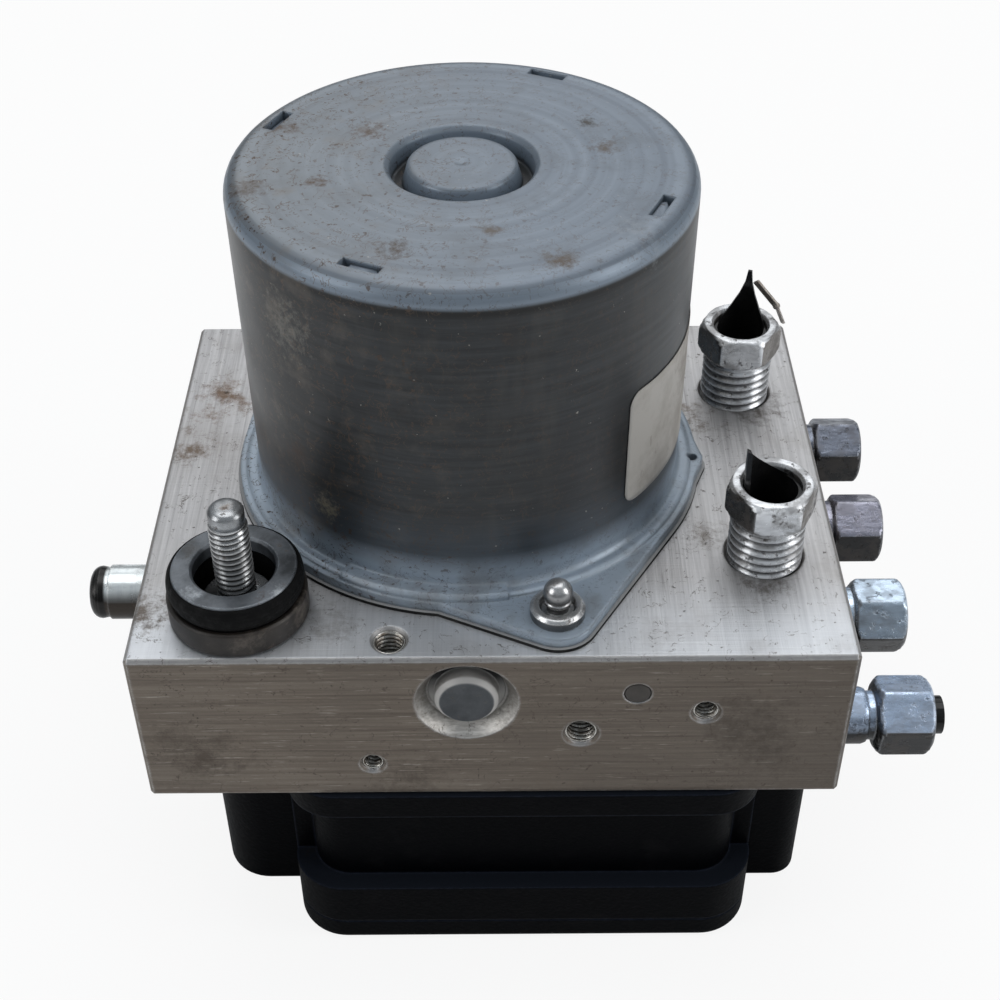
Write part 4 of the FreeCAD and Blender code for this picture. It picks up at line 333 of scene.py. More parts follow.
block_alloy, tree, shader = start_material("block_alloy", 0.75)
upward = use_effect(tree, facing_split).outputs["Upward"]
along_y = scratches(tree, 1900.0, y=0.02)
broad_y = scratches(tree, 260.0, y=0.035)
along_x = scratches(tree, 2000.0, x=0.016)
fine_x = scratches(tree, 2600.0, x=0.05)
broad_x = scratches(tree, 210.0, x=0.05)
long_y = scratches(tree, 800.0, y=0.03)
dirt = patches(tree, 900.0, 0.66, 0.04)
grime = patches(tree, 70.0, 0.55, 0.2)
cloudy = patches(tree, 28.0, 0.42, 0.25)
wear_and_highlight, bevel = worn_and_highlit_edges(tree, 0.0006, 0.5)
top_metal = mix_colours(tree, spread_value(tree, along_y, 0.3, 0.7), (0.33, 0.325, 0.33), (0.56, 0.555, 0.56))
top_metal = tint_range(tree, top_metal, broad_y, 0.45, 0.7, 0.45, (0.7, 0.7, 0.71))
top_metal = tint_range(tree, top_metal, long_y, 0.66, 0.7, 0.4, (0.16, 0.15, 0.145))
top_metal = tint(tree, top_metal, (cloudy, 0.35, (0.33, 0.31, 0.295)))
side_metal = mix_colours(
    tree, spread_value(tree, along_x, 0.3, 0.7), (0.115, 0.092, 0.074), (0.235, 0.2, 0.165))
side_metal = tint_range(tree, side_metal, broad_x, 0.5, 0.7, 0.35, (0.27, 0.235, 0.195))
side_metal = tint_range(tree, side_metal, fine_x, 0.6, 0.66, 0.7, (0.46, 0.42, 0.37))
side_metal = tint(tree, side_metal, (cloudy, 0.4, (0.13, 0.11, 0.092)))
place = object_place(tree)
spot = split_vector(tree, place)
# Painted light: the front strip of the top is painted pale blue-white
top_metal = tint_range(tree, top_metal, spot.outputs["Y"], -0.026, -0.038, 0.5, (0.8, 0.84, 0.89))
# Painted shade: the front face grows darker towards the right
side_metal = tint_range(tree, side_metal, spot.outputs["X"], -0.01, 0.055, 0.55, (0.095, 0.08, 0.068))
metal = mix_colours(tree, upward, side_metal, top_metal)
metal = tint(tree, metal, (grime, 0.3, (0.16, 0.125, 0.095)))
metal = add_spots(tree, metal, (
    ((-48.5, 21.5, 69.0), 14.0, 220.0, 0.95, (0.16, 0.105, 0.07)),
    ((-52.0, 6.6, 69.0), 11.0, 300.0, 0.9, (0.14, 0.1, 0.07)),
    ((-47.6, 23.3, 69.0), 1.6, 900.0, 0.9, (0.03, 0.018, 0.012)),
    ((-54.0, -33.0, 69.0), 12.0, 500.0, 0.9, (0.11, 0.085, 0.065)),
    # Painted shade: a grey patch on the top next to the mount's cup
    ((-25.0, -36.5, 69.0), 12.0, 260.0, 0.5, (0.2, 0.18, 0.165)),
    ((33.5, 16.5, 69.0), 13.0, 300.0, 0.95, (0.13, 0.1, 0.075)),
    ((46.5, 18.0, 69.0), 12.0, 260.0, 0.85, (0.1, 0.085, 0.072)),
    ((42.5, -27.5, 69.0), 10.0, 300.0, 0.8, (0.12, 0.1, 0.085)),
    ((34.6, -16.3, 69.0), 8.0, 600.0, 0.7, (0.15, 0.13, 0.11)),
    ((-46.0, -43.8, 47.0), 17.0, 190.0, 0.7, (0.07, 0.054, 0.042)),
    ((40.0, -43.8, 50.0), 24.0, 170.0, 0.65, (0.065, 0.053, 0.043)),
    ((-12.0, -43.8, 43.0), 16.0, 200.0, 0.55, (0.075, 0.06, 0.048))))
metal = tint(tree, metal, (dirt, 0.7, (0.06, 0.042, 0.03)))
# The countersink round the front pump plug is turned bright, with painted shade on its upper half
plug_x, plug_z, front_y = -0.004, 0.0596, -0.0438
sunk = place_node(tree, "ShaderNodeVectorMath", {
    0: place, 1: (plug_x, front_y, plug_z)}, operation="DISTANCE")
machined = combine(tree, "MULTIPLY", spread_value(tree, sunk.outputs["Value"], 0.0087, 0.0085),
                   spread_value(tree, spot.outputs["Y"], front_y - 0.00004, front_y + 0.00006))
lathed_and_shaded = mix_colours(tree, spread_value(tree, along_x, 0.35, 0.65), (0.4, 0.38, 0.35), (0.72, 0.7, 0.67))
lathed_and_shaded = tint_range(tree, lathed_and_shaded, spot.outputs["Z"], 0.0555, 0.062, 0.8, (0.14, 0.125, 0.11))
# Edges are tinted near white at the end: part wear, part painted highlight
metal = tint(tree, metal, (machined, 0.9, lathed_and_shaded),
             (flecks_of(tree, 300.0, 0.007, 0.54), 0.65, (0.075, 0.057, 0.045)), (wear_and_highlight, 0.6, (0.8, 0.8, 0.8)))
streaks = combine(tree, "ADD", along_x, along_y)
dress(tree, shader, metal, spread_value(tree, streaks, 0.6, 1.4, 0.36, 0.56),
      combine(tree, "SUBTRACT", streaks, dirt), 0.00005, bevel)
finish_nodes(block_alloy, "hydraulic_block")


# Their crests carry painted highlights and their roots painted shade.
# Threads in the tapped holes
# Each tapped hole shows turns of thread inside its mouth: three in the front face and one in the top.
# They are cut in the block itself, so each run of turns is a thin lining of the same alloy.
def form_levels(form, *levels):
    # Heights and radii in millimetres, each marked with the form of its ring
    return [(height, radius, form) for height, radius in levels]


def thread_run(low, high, radius, pitch):
    steps = max(8, int((high - low) / pitch * 8))
    return form_levels("thread", *((low + (high - low) * i / steps, radius) for i in range(steps + 1)))


def ring_radius(level, angle, flats=0.0, pitch=0.0, depth=0.0, lead=0.0):
    # Radius of one ring at an angle: round, six-sided, or with the rise and fall of a thread
    height, radius, form = level
    if form == "hex":
        corner = (math.degrees(angle) - lead + 30.0) % 60.0 - 30.0
        return min(radius, flats / 2 / math.cos(math.radians(corner)))
    if form == "thread":
        turn = (height / pitch - angle / (2 * math.pi)) % 1.0
        return radius - depth * abs(2 * turn - 1) ** 1.2
    return radius


def stacked_rings(title, levels, around=72, close=False, **shape):
    # Rings of points up and down an axis, joined into one skin; sizes in millimetres
    # groove tells how deep a point lies in the thread, from 0 on a crest to 1 at the root; -1 elsewhere
    points = []
    grooves = []
    for level in levels:
        for i in range(around):
            angle = 2 * math.pi * i / around
            radius = ring_radius(level, angle, **shape)
            points.append(Vector((radius * math.cos(angle), radius * math.sin(angle), level[0])) / 1000)
            grooves.append((level[1] - radius) / shape["depth"] if level[2] == "thread" else -1.0)
    faces = []
    count = len(levels)
    for row in range(count if close else count - 1):
        for i in range(around):
            j = (i + 1) % around
            below, above = row * around, (row + 1) % count * around
            faces.append((below + i, below + j, above + j, above + i))
    if not close:
        faces.append(tuple(reversed(range(around))))
        faces.append(tuple(range((count - 1) * around, count * around)))
    piece = mesh_object(title, points, faces)
    piece.data.attributes.new("groove", "FLOAT", "POINT").data.foreach_set("value", grooves)
    return piece


def tint_thread(tree, colour, crest_share, bright, root_share, dark):
    # Painted highlight on the crests, painted shade in the roots
    groove = place_node(tree, "ShaderNodeAttribute", attribute_name="groove").outputs["Fac"]
    crest = combine(tree, "MULTIPLY", spread_value(tree, groove, 0.32, 0.05),
                    spread_value(tree, groove, -0.5, -0.05))
    root = spread_value(tree, groove, 0.35, 0.85)
    return tint(tree, colour, (crest, crest_share, bright), (root, root_share, dark))


def lay_along(piece, place, direction):
    # Turns a piece built up along +Z to leave place (in millimetres) along a direction
    heading = Vector(direction).to_track_quat("Z", "Y").to_matrix().to_4x4()
    piece.data.transform(Matrix.Translation(Vector(place) / 1000) @ heading)


block_top = 69.0
block_front = -43.85
tapped_alloy, tree, shader = start_material("tapped_alloy", 0.8)
cut_marks = patches(tree, 700.0, 0.42, 0.2)
turned_alloy = mix_colours(tree, cut_marks, (0.5, 0.48, 0.44), (0.2, 0.165, 0.13))
turned_alloy = tint_thread(tree, turned_alloy, 1.0, (0.85, 0.84, 0.8), 0.9, (0.03, 0.023, 0.017))
dress(tree, shader, turned_alloy, spread_value(tree, cut_marks, 0, 1, 0.25, 0.5), cut_marks, 0.00003)
hole_start, hole_end = 0.5, 7.6
tapped_holes = (("front_left", (-19.0, block_front, 45.7), (0, 1, 0), 1.7, 0.7),
                ("front_middle", (13.6, block_front, 52.5), (0, 1, 0), 2.5, 0.8),
                ("front_right", (32.6, block_front, 57.1), (0, 1, 0), 2.0, 0.7),
                ("top", (-15.5, -39.6, block_top), (0, 0, -1), 2.5, 0.8))
for name, mouth, inward, radius, pitch in tapped_holes:
    levels = form_levels("round", (hole_end, radius - 0.03), (hole_start, radius - 0.03))
    levels += [(z, r - 0.06, form) for z, r, form in thread_run(hole_start, hole_end, radius, pitch)]
    turns = stacked_rings("hole_thread_" + name, levels, around=48, close=True, pitch=pitch, depth=0.42)
    lay_along(turns, mouth, inward)
    turns.data.materials.append(tapped_alloy)
    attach(turns, "module")


# Block's plugs
# The pump plugs, front and back, are dull turned steel discs in bright rings, pressed into countersinks.
# The gallery is closed by a dark steel ball.
def make_plain_metal(title, dark, light, metallic, rough, scale=500.0, edge=0.5, stain=0.4, threads=False,
                     sides=0.0, below=0.0):
    material, tree, shader = start_material(title, metallic)
    shade = patches(tree, scale * 0.25, 0.35, 0.3)
    spots = patches(tree, scale, 0.6, 0.08)
    wear_and_highlight, bevel = worn_and_highlit_edges(tree, 0.0004, 0.6)
    colour = tint(tree, mix_colours(tree, shade, dark, light), (spots, stain, (0.08, 0.055, 0.04)))
    # Painted shade and dark reflection where polished round steel turns aside or down
    turned_away = (0.035, 0.033, 0.031)
    aspect = surface_aspect(tree)
    aside = combine(tree, "ABSOLUTE", aspect.outputs["X"])
    colour = tint_range(tree, colour, aside, 0.4, 0.95, sides, turned_away)
    colour = tint_range(tree, colour, aspect.outputs["Z"], 0.6, 0.0, below, turned_away)
    # Edges are tinted bright: part wear, part painted highlight
    bright = tuple(min(1.0, c * 1.7 + 0.05) for c in light)
    colour = tint(tree, colour, (wear_and_highlight, edge, bright))
    if threads:
        colour = tint_thread(tree, colour, 0.7, bright, 0.9, (0.02, 0.017, 0.014))
    dress(tree, shader, colour, spread_value(tree, shade, 0, 1, rough + 0.12, rough - 0.05), spots, 0.00004,
          bevel)
    return material


def base_colour(material):
    # The node tree of a finished material, its colour so far and the socket that takes it
    socket = material.node_tree.nodes["Principled BSDF"].inputs["Base Color"]
    return material.node_tree, socket.links[0].from_socket, socket


plug_steel = make_plain_metal("plug_steel", (0.045, 0.05, 0.056), (0.085, 0.092, 0.1), 0.35, 0.5,
                              scale=900.0, edge=0.8, stain=0.3)
tree, disc_colour, socket = base_colour(plug_steel)
place = object_place(tree)
flattened = place_node(tree, "ShaderNodeVectorMath", {0: place, 1: (1, 0, 1)}, operation="MULTIPLY")
from_axis = place_node(tree, "ShaderNodeVectorMath", {0: flattened.outputs["Vector"], 1: (plug_x, 0, plug_z)},
                       operation="DISTANCE").outputs["Value"]
turned_ring = spread_value(tree, from_axis, 0.0041, 0.0043, 0, 0.9)
beyond_ring = spread_value(tree, from_axis, 0.0049, 0.0051)
# Beyond the turned ring, the lower part is painted pale and the upper part painted dark: painted light and
# shadow
shaded_ring = mix_colours(tree, spread_value(tree, split_vector(tree, place).outputs["Z"], 0.0585, 0.0625),
                          (0.4, 0.385, 0.365), (0.008, 0.0075, 0.007))
ring_colour = mix_colours(tree, beyond_ring, (0.56, 0.545, 0.525), shaded_ring)
tree.links.new(mix_colours(tree, turned_ring, disc_colour, ring_colour), socket)
finish_nodes(plug_steel, "pump_plug_front", "pump_plug_back")
ball_steel = make_plain_metal("ball_steel", (0.045, 0.04, 0.036), (0.085, 0.076, 0.068), 0.35, 0.5,
                              edge=0.1, stain=0.4)
finish_nodes(ball_steel, "gallery_ball_plug")


# Motor can
# A deep-drawn steel can, one piece with its flange, dull zinc plated, with rings on top; painted light makes
# the top pale, the side dark.
# Rust has come through as brown specks, most of them on the left; a bent tab is left in each slot of the top.
motor_middle = (-0.004, 0.004)


def make_radial_measure():
    # How far a point lies from the can's axis, and how far to its left
    group, taken, given = effect_group(
        "radial_measure", {"Middle_X": 0.0, "Middle_Y": 0.0}, ("Radius", "Left"))
    spot = split_vector(group, object_place(group))
    across = combine(group, "SUBTRACT", spot.outputs["X"], taken.outputs["Middle_X"])
    away = combine(group, "SUBTRACT", spot.outputs["Y"], taken.outputs["Middle_Y"])
    flat = place_node(group, "ShaderNodeCombineXYZ", {"X": across, "Y": away})
    length = place_node(group, "ShaderNodeVectorMath", {0: flat.outputs["Vector"]}, operation="LENGTH")
    group.links.new(length.outputs["Value"], given.inputs["Radius"])
    group.links.new(spread_value(group, across, 0.012, -0.03), given.inputs["Left"])
    return group


radial_measure = make_radial_measure()
can_zinc, tree, shader = start_material("can_zinc", 0.35)
facing = use_effect(tree, facing_split)
upward, height = facing.outputs["Upward"], facing.outputs["Height"]
measure = use_effect(tree, radial_measure, Middle_X=motor_middle[0], Middle_Y=motor_middle[1])
radius, left = measure.outputs["Radius"], measure.outputs["Left"]
ring_noise = place_node(tree, "ShaderNodeTexNoise", {"W": radius, "Scale": 420.0, "Detail": 3.0},
                        noise_dimensions="1D").outputs["Fac"]
streaks = scratches(tree, 900.0, x=0.06, y=0.06)
upright_marks = scratches(tree, 110.0, z=0.25)
cloudy = patches(tree, 36.0, 0.38, 0.26)
dull = patches(tree, 120.0, 0.5, 0.16)
specks = patches(tree, 900.0, 0.61, 0.04)
rust = patches(tree, 170.0, 0.54, 0.12)
brown_lines = flecks_of(tree, 420.0, 0.012, 0.47)
chips = patches(tree, 1000.0, 0.69, 0.02)
wear_and_highlight, bevel = worn_and_highlit_edges(tree, 0.0007, 0.5)
top_zinc = mix_colours(
    tree, spread_value(tree, ring_noise, 0.3, 0.7), (0.15, 0.18, 0.22), (0.205, 0.243, 0.29))
top_zinc = tint(tree, top_zinc, (dull, 0.6, (0.13, 0.15, 0.175)), (left, 0.35, (0.205, 0.205, 0.19)))
side_zinc = mix_colours(
    tree, spread_value(tree, streaks, 0.3, 0.7), (0.018, 0.0205, 0.023), (0.047, 0.052, 0.057))
side_zinc = tint(tree, side_zinc, (cloudy, 0.6, (0.017, 0.0165, 0.016)))
side_zinc = tint_range(tree, side_zinc, upright_marks, 0.55, 0.75, 0.35, (0.075, 0.07, 0.062))
# Painted shade darkens the side towards the left; a painted reflection makes it bluish low down
side_zinc = tint(tree, side_zinc, (spread_value(tree, left, 0.7, 1.0), 0.55, (0.012, 0.01, 0.008)),
                 (spread_value(tree, height, 0.086, 0.073), 0.6, (0.11, 0.14, 0.175)))
# Painted light and shade: upward faces take the pale top colour, the rest the dark side colour
zinc = mix_colours(tree, upward, side_zinc, top_zinc)
# Painted light: the flange is painted pale blue-grey where the can's shadow falls
flange_zinc = tint(tree, (0.42, 0.5, 0.59), (cloudy, 0.6, (0.21, 0.24, 0.27)),
                   (dull, 0.5, (0.19, 0.18, 0.165)))
zinc = tint_range(tree, zinc, height, 0.078, 0.074, 0.85, flange_zinc)
# Painted shade in the moat round the boss and in the slots, a painted highlight on the rim, and painted shade
# in the step below it
in_groove = combine(tree, "MULTIPLY", spread_value(tree, radius, 0.0128, 0.0122),
                    spread_value(tree, height, 0.1238, 0.1225))
in_slot = combine(tree, "MULTIPLY", spread_value(tree, radius, 0.0275, 0.028),
                  spread_value(tree, height, 0.1248, 0.1242))
in_slot = combine(tree, "MULTIPLY", in_slot, spread_value(tree, radius, 0.0339, 0.0335))
rim, off_top = spread_value(tree, height, 0.1221, 0.1228), spread_value(tree, upward, 1, 0, 0.0, 0.75)
below_rim = combine(tree, "MULTIPLY", spread_value(tree, height, 0.1207, 0.1216),
                    spread_value(tree, height, 0.1224, 0.1219))
leftward = spread_value(tree, left, 0, 1, 0.35, 1.0)
zinc = tint(tree, zinc, (combine(tree, "MAXIMUM", in_groove, in_slot), 0.85, (0.012, 0.013, 0.015)),
            (rim, off_top, (0.27, 0.33, 0.4)), (below_rim, 0.85, (0.008, 0.008, 0.008)),
            (specks, leftward, (0.06, 0.036, 0.024)),
            (brown_lines, combine(tree, "MULTIPLY", leftward, 0.75), (0.085, 0.055, 0.036)),
            (rust, combine(tree, "MULTIPLY", left, 0.3), (0.17, 0.14, 0.11)))
rust_brown = (0.07, 0.042, 0.026)
zinc = add_spots(tree, zinc, (
    ((-32.0, 15.5, 125.3), 7.0, 390.0, 1.0, rust_brown),
    ((-18.2, 14.0, 125.3), 6.0, 490.0, 1.0, rust_brown),
    ((-25.3, -1.9, 125.3), 4.5, 580.0, 1.0, rust_brown),
    ((-34.5, -4.0, 125.3), 7.0, 350.0, 0.9, (0.075, 0.055, 0.042)),
    ((15.1, 16.1, 125.3), 4.5, 820.0, 1.0, (0.035, 0.032, 0.03)),
    ((17.0, 7.5, 125.3), 6.0, 580.0, 0.9, (0.085, 0.066, 0.052)),
    ((9.6, -23.6, 125.3), 6.5, 490.0, 1.0, (0.085, 0.066, 0.052)),
    ((0.2, -15.5, 125.3), 6.0, 490.0, 0.9, (0.09, 0.07, 0.055)),
    ((-12.5, -21.0, 125.3), 6.0, 490.0, 1.0, (0.06, 0.043, 0.033)),
    ((21.0, -15.9, 125.3), 9.0, 180.0, 0.5, (0.3, 0.33, 0.36)),
    ((-29.6, -20.2, 90.1), 7.0, 190.0, 1.0, (0.04, 0.02, 0.011)),
    ((-10.8, -30.5, 112.0), 4.0, 290.0, 0.6, (0.012, 0.01, 0.009)),
    ((-11.9, -30.3, 105.0), 5.0, 260.0, 0.55, (0.014, 0.011, 0.01)),
    ((2.8, -30.5, 118.0), 5.0, 350.0, 0.5, (0.03, 0.022, 0.018)),
    # Painted sheen: a lighter patch high on the left of the side
    ((-28.8, -21.0, 113.0), 12.0, 820.0, 0.45, (0.24, 0.225, 0.195)),
    ((-25.0, -24.0, 82.0), 6.0, 1050.0, 0.6, (0.28, 0.25, 0.18))))
# Edges are tinted pale blue-grey: part wear, part painted highlight
zinc = tint(tree, zinc, (chips, 0.6, (0.45, 0.43, 0.38)), (wear_and_highlight, 0.35, (0.42, 0.46, 0.5)))
ring_height = combine(tree, "ADD", combine(tree, "MULTIPLY", ring_noise, upward),
                      combine(tree, "MULTIPLY", streaks, 0.3))
dress(tree, shader, zinc, spread_value(tree, cloudy, 0, 1, 0.42, 0.32), ring_height, 0.000022, bevel)
finish_nodes(can_zinc, "motor_can")

# The tab in a slot: a bent tongue of the can's own steel, low on the outer side
tab_steel = make_plain_metal("tab_steel", (0.1, 0.12, 0.15), (0.2, 0.235, 0.28), 0.4, 0.4,
                             edge=0.4, stain=0.5)
tab_reach, tab_level, tab_drop, tab_thickness = 31.6, 124.1, 0.5, 0.45
tab_outline = ((-0.8, -1.9), (0.75, -2.3), (0.8, 1.2), (-0.2, 2.6), (-0.8, 2.0))
for number in range(4):
    heading = math.radians(-25.0 + 90.0 * number)
    lows = [Vector((tab_reach + out, along, tab_level - tab_drop * (out > 0))) for out, along in tab_outline]
    highs = [p + Vector((0, 0, tab_thickness)) for p in lows]
    count = len(lows)
    sides = [(i, (i + 1) % count, (i + 1) % count + count, i + count) for i in range(count)]
    skin = [tuple(reversed(range(count))), tuple(range(count, 2 * count))] + sides
    slot_tab = mesh_object(f"slot_tab_{number + 1}", [p / 1000 for p in lows + highs], skin, smooth=False)
    slot_tab.data.transform(Matrix.Translation(Vector((*motor_middle, 0))) @ Matrix.Rotation(heading, 4, "Z"))
    slot_tab.data.materials.append(tab_steel)
    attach(slot_tab, "module")


# Sticker on the can
# A bare off-white paper sticker round the right of the can, with soft corners, brown at its far side.
# It is glued to the zinc, and its edges have lifted a little.
sticker_angles = (-46.0, 20.0)
sticker_heights = (10.6, 31.8)
sticker_corner = 2.4
sticker_thickness = 0.07
can_radius = 35.0
can_flare, can_straight = 0.5, 56.0


def round_corner(across, up, width, height):
    # Pulls a point in a corner back onto the corner's arc
    inset_x = max(sticker_corner - min(across, width - across), 0.0)
    inset_y = max(sticker_corner - min(up, height - up), 0.0)
    reach = math.hypot(inset_x, inset_y)
    if inset_x > 0 and inset_y > 0 and reach > sticker_corner:
        middle_x = sticker_corner if across < width / 2 else width - sticker_corner
        middle_y = sticker_corner if up < height / 2 else height - sticker_corner
        across = middle_x + (across - middle_x) * sticker_corner / reach
        up = middle_y + (up - middle_y) * sticker_corner / reach
    return across, up


def bent_sheet(title, columns=48, rows=20):
    points = []
    width = math.radians(sticker_angles[1] - sticker_angles[0]) * can_radius
    height = sticker_heights[1] - sticker_heights[0]
    for side in (0, 1):
        for r in range(rows + 1):
            for c in range(columns + 1):
                across, up = round_corner(width * c / columns, height * r / rows, width, height)
                level = sticker_heights[0] + up
                angle = math.radians(sticker_angles[0]) + across / can_radius
                lift = 0.07 + 0.05 * max(0.0, noise.noise(Vector((across * 0.25, up * 0.25, 1.5))))
                radius = can_radius + can_flare * level / can_straight + lift + sticker_thickness * side
                points.append(Vector((motor_middle[0] * 1000 + radius * math.cos(angle),
                                      motor_middle[1] * 1000 + radius * math.sin(angle),
                                      block_top + level)) / 1000)
    faces = []
    step = columns + 1
    layer = step * (rows + 1)
    for r in range(rows):
        for c in range(columns):
            a = r * step + c
            faces.append((a, a + step, a + step + 1, a + 1))
            faces.append((layer + a, layer + a + 1, layer + a + step + 1, layer + a + step))
    rim = list(range(columns)) + [columns + r * step for r in range(rows)]
    rim += [rows * step + c for c in range(columns, 0, -1)] + [r * step for r in range(rows, 0, -1)]
    for a, b in zip(rim, rim[1:] + rim[:1]):
        faces.append((a, b, layer + b, layer + a))
    return mesh_object(title, points, faces)


sticker = bent_sheet("blank_sticker")
sticker_paper, tree, shader = start_material("sticker_paper")
smudges = patches(tree, 120.0, 0.45, 0.25)
paper = mix_colours(tree, smudges, (0.42, 0.4, 0.37), (0.3, 0.275, 0.245))
paper = tint_range(tree, paper, scratches(tree, 420.0, z=0.3), 0.62, 0.72, 0.5, (0.1, 0.085, 0.07))
paper = add_spots(tree, paper, (((30.0, -6.0, 96.0), 14.0, 220.0, 0.55, (0.13, 0.095, 0.07)),
                                ((24.0, -18.0, 82.0), 8.0, 300.0, 0.35, (0.2, 0.17, 0.14))))
dress(tree, shader, paper, spread_value(tree, smudges, 0, 1, 0.5, 0.65), smudges, 0.00005)
sticker.data.materials.append(sticker_paper)
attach(sticker, "module")


# Rubber seals
# Black moulded rubber: the motor's seal under its flange, the control unit's seal and the band of the mount.
# Each is squeezed between two metal faces, with dust in its pores.
def make_rubber(title, base, dust, amount):
    material, tree, shader = start_material(title)
    pores = patches(tree, 900.0, 0.45, 0.2)
    colour = tint(tree, base, (patches(tree, 130.0, 0.5, 0.15), amount, dust))
    shader.inputs["Specular IOR Level"].default_value = 0.16
    dress(tree, shader, colour, spread_value(tree, pores, 0, 1, 0.75, 0.55), pores, 0.00005)
    return material


seal_rubber = make_rubber("seal_rubber", (0.012, 0.012, 0.012), (0.05, 0.048, 0.045), 0.5)
tree, edge_colour, socket = base_colour(seal_rubber)
upward = use_effect(tree, facing_split).outputs["Upward"]
# Painted highlight: the seal's upward faces are painted light grey
tree.links.new(tint(tree, edge_colour, (upward, 0.85, (0.34, 0.34, 0.34))), socket)
finish_nodes(seal_rubber, "motor_gasket")
band_rubber = make_rubber("band_rubber", (0.0012, 0.0012, 0.0014), (0.006, 0.0055, 0.005), 0.35)
finish_nodes(band_rubber, "ecu_seal", "damper_rubber")


# Motor screws
# Three zinc-plated screws with wide collars hold the motor's ears; each has a driven ball in its socket.
# The front one is in full view at the can's foot.
screw_zinc = make_plain_metal("screw_zinc", (0.42, 0.42, 0.42), (0.82, 0.83, 0.84), 0.8, 0.2,
                              edge=0.7, stain=0.8, sides=0.5, below=0.8)
finish_nodes(screw_zinc, "motor_screws", "motor_screw_collars")


# Mount on the block's corner
# A dark steel cup holds a rubber band and a dull zinc ring, and a stud with rolled threads stands inside.
# It carries the module on its bracket.
cup_steel = make_plain_metal("cup_steel", (0.004, 0.0035, 0.003), (0.038, 0.031, 0.026), 0.3, 0.4,
                             scale=420.0, edge=0.3)
ring_zinc = make_plain_metal("ring_zinc", (0.03, 0.034, 0.039), (0.2, 0.22, 0.245), 0.4, 0.34,
                             scale=420.0, edge=0.8, stain=0.7)
stud_steel = make_plain_metal("stud_steel", (0.16, 0.165, 0.17), (0.6, 0.62, 0.64), 0.75, 0.22,
                              edge=0.7, stain=0.8, threads=True, sides=0.85)
mount_spots = (
    (ring_zinc, (((-31.5, -39.0, 78.0), 5.0, 500.0, 0.8, (0.42, 0.45, 0.48)),
                 ((-45.5, -28.5, 78.0), 5.5, 300.0, 0.8, (0.05, 0.048, 0.046)),
                 ((-44.0, -38.5, 78.0), 4.0, 600.0, 0.7, (0.4, 0.43, 0.46)))),
    (cup_steel, (((-29.0, -36.0, 71.5), 7.0, 420.0, 0.9, (0.15, 0.127, 0.105)),
                 ((-36.0, -43.0, 72.5), 6.0, 500.0, 0.6, (0.12, 0.1, 0.083)))),
    (stud_steel, (((-38.7, -32.7, 90.2), 3.2, 500.0, 0.9, (0.17, 0.135, 0.11)),)))
for material, spots in mount_spots:
    tree, colour, socket = base_colour(material)
    tree.links.new(add_spots(tree, colour, spots), socket)
finish_nodes(cup_steel, "damper_cup")
finish_nodes(ring_zinc, "damper_ring")
mount_place = (-38.698, -32.692, block_top)
stud_pitch = 1.0
stud_levels = form_levels("round", (0.95, 2.9), (0.95, 5.35), (3.0, 5.35), (3.45, 4.9), (3.45, 3.0))
stud_levels += thread_run(3.5, 17.4, 3.0, stud_pitch)
stud_levels += form_levels("round", (17.6, 2.55), (17.9, 2.72), (19.85, 2.72), (19.92, 2.68), (20.42, 2.25),
                           (20.5, 2.1), (20.66, 1.2), (20.7, 0.5))
stud = stacked_rings("mount_stud", stud_levels, around=64, pitch=stud_pitch, depth=0.4)
lay_along(stud, mount_place, (0, 0, 1))
stud.data.materials.append(stud_steel)
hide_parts("damper_stud")
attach(stud, "module")


# Locating pin
# A turned steel pin in the block's left face, with a dark grooved nose.
# It sits in a rubber eye of the bracket.
pin_steel, tree, shader = start_material("pin_steel", 0.6)
turned_marks = scratches(tree, 1200.0, y=0.05, z=0.05)
stains = patches(tree, 300.0, 0.5, 0.2)
wear_and_highlight, bevel = worn_and_highlit_edges(tree, 0.0004, 0.5)
# Painted light: the pin is painted near white, and its lower side is painted dark as shade
pin_metal = mix_colours(tree, spread_value(tree, turned_marks, 0.3, 0.7), (0.75, 0.8, 0.82), (0.95, 1.0, 1.0))
pin_upward = surface_aspect(tree).outputs["Z"]
pin_metal = tint_range(tree, pin_metal, pin_upward, 0.75, 0.3, 1.0, (0.04, 0.032, 0.026))
pin_metal = tint(tree, pin_metal, (stains, 0.5, (0.09, 0.07, 0.055)))
nose_start = split_vector(tree, object_place(tree)).outputs["X"]
pin_metal = tint_range(tree, pin_metal, nose_start, -0.0632, -0.0636, 1.0, (0.02, 0.019, 0.018))
# Edges are tinted pale: part wear, part painted highlight
pin_metal = tint(tree, pin_metal, (wear_and_highlight, 0.5, (0.6, 0.6, 0.6)))
dress(tree, shader, pin_metal, spread_value(tree, stains, 0, 1, 0.22, 0.4), turned_marks, 0.00003, bevel)
finish_nodes(pin_steel, "locating_pin")


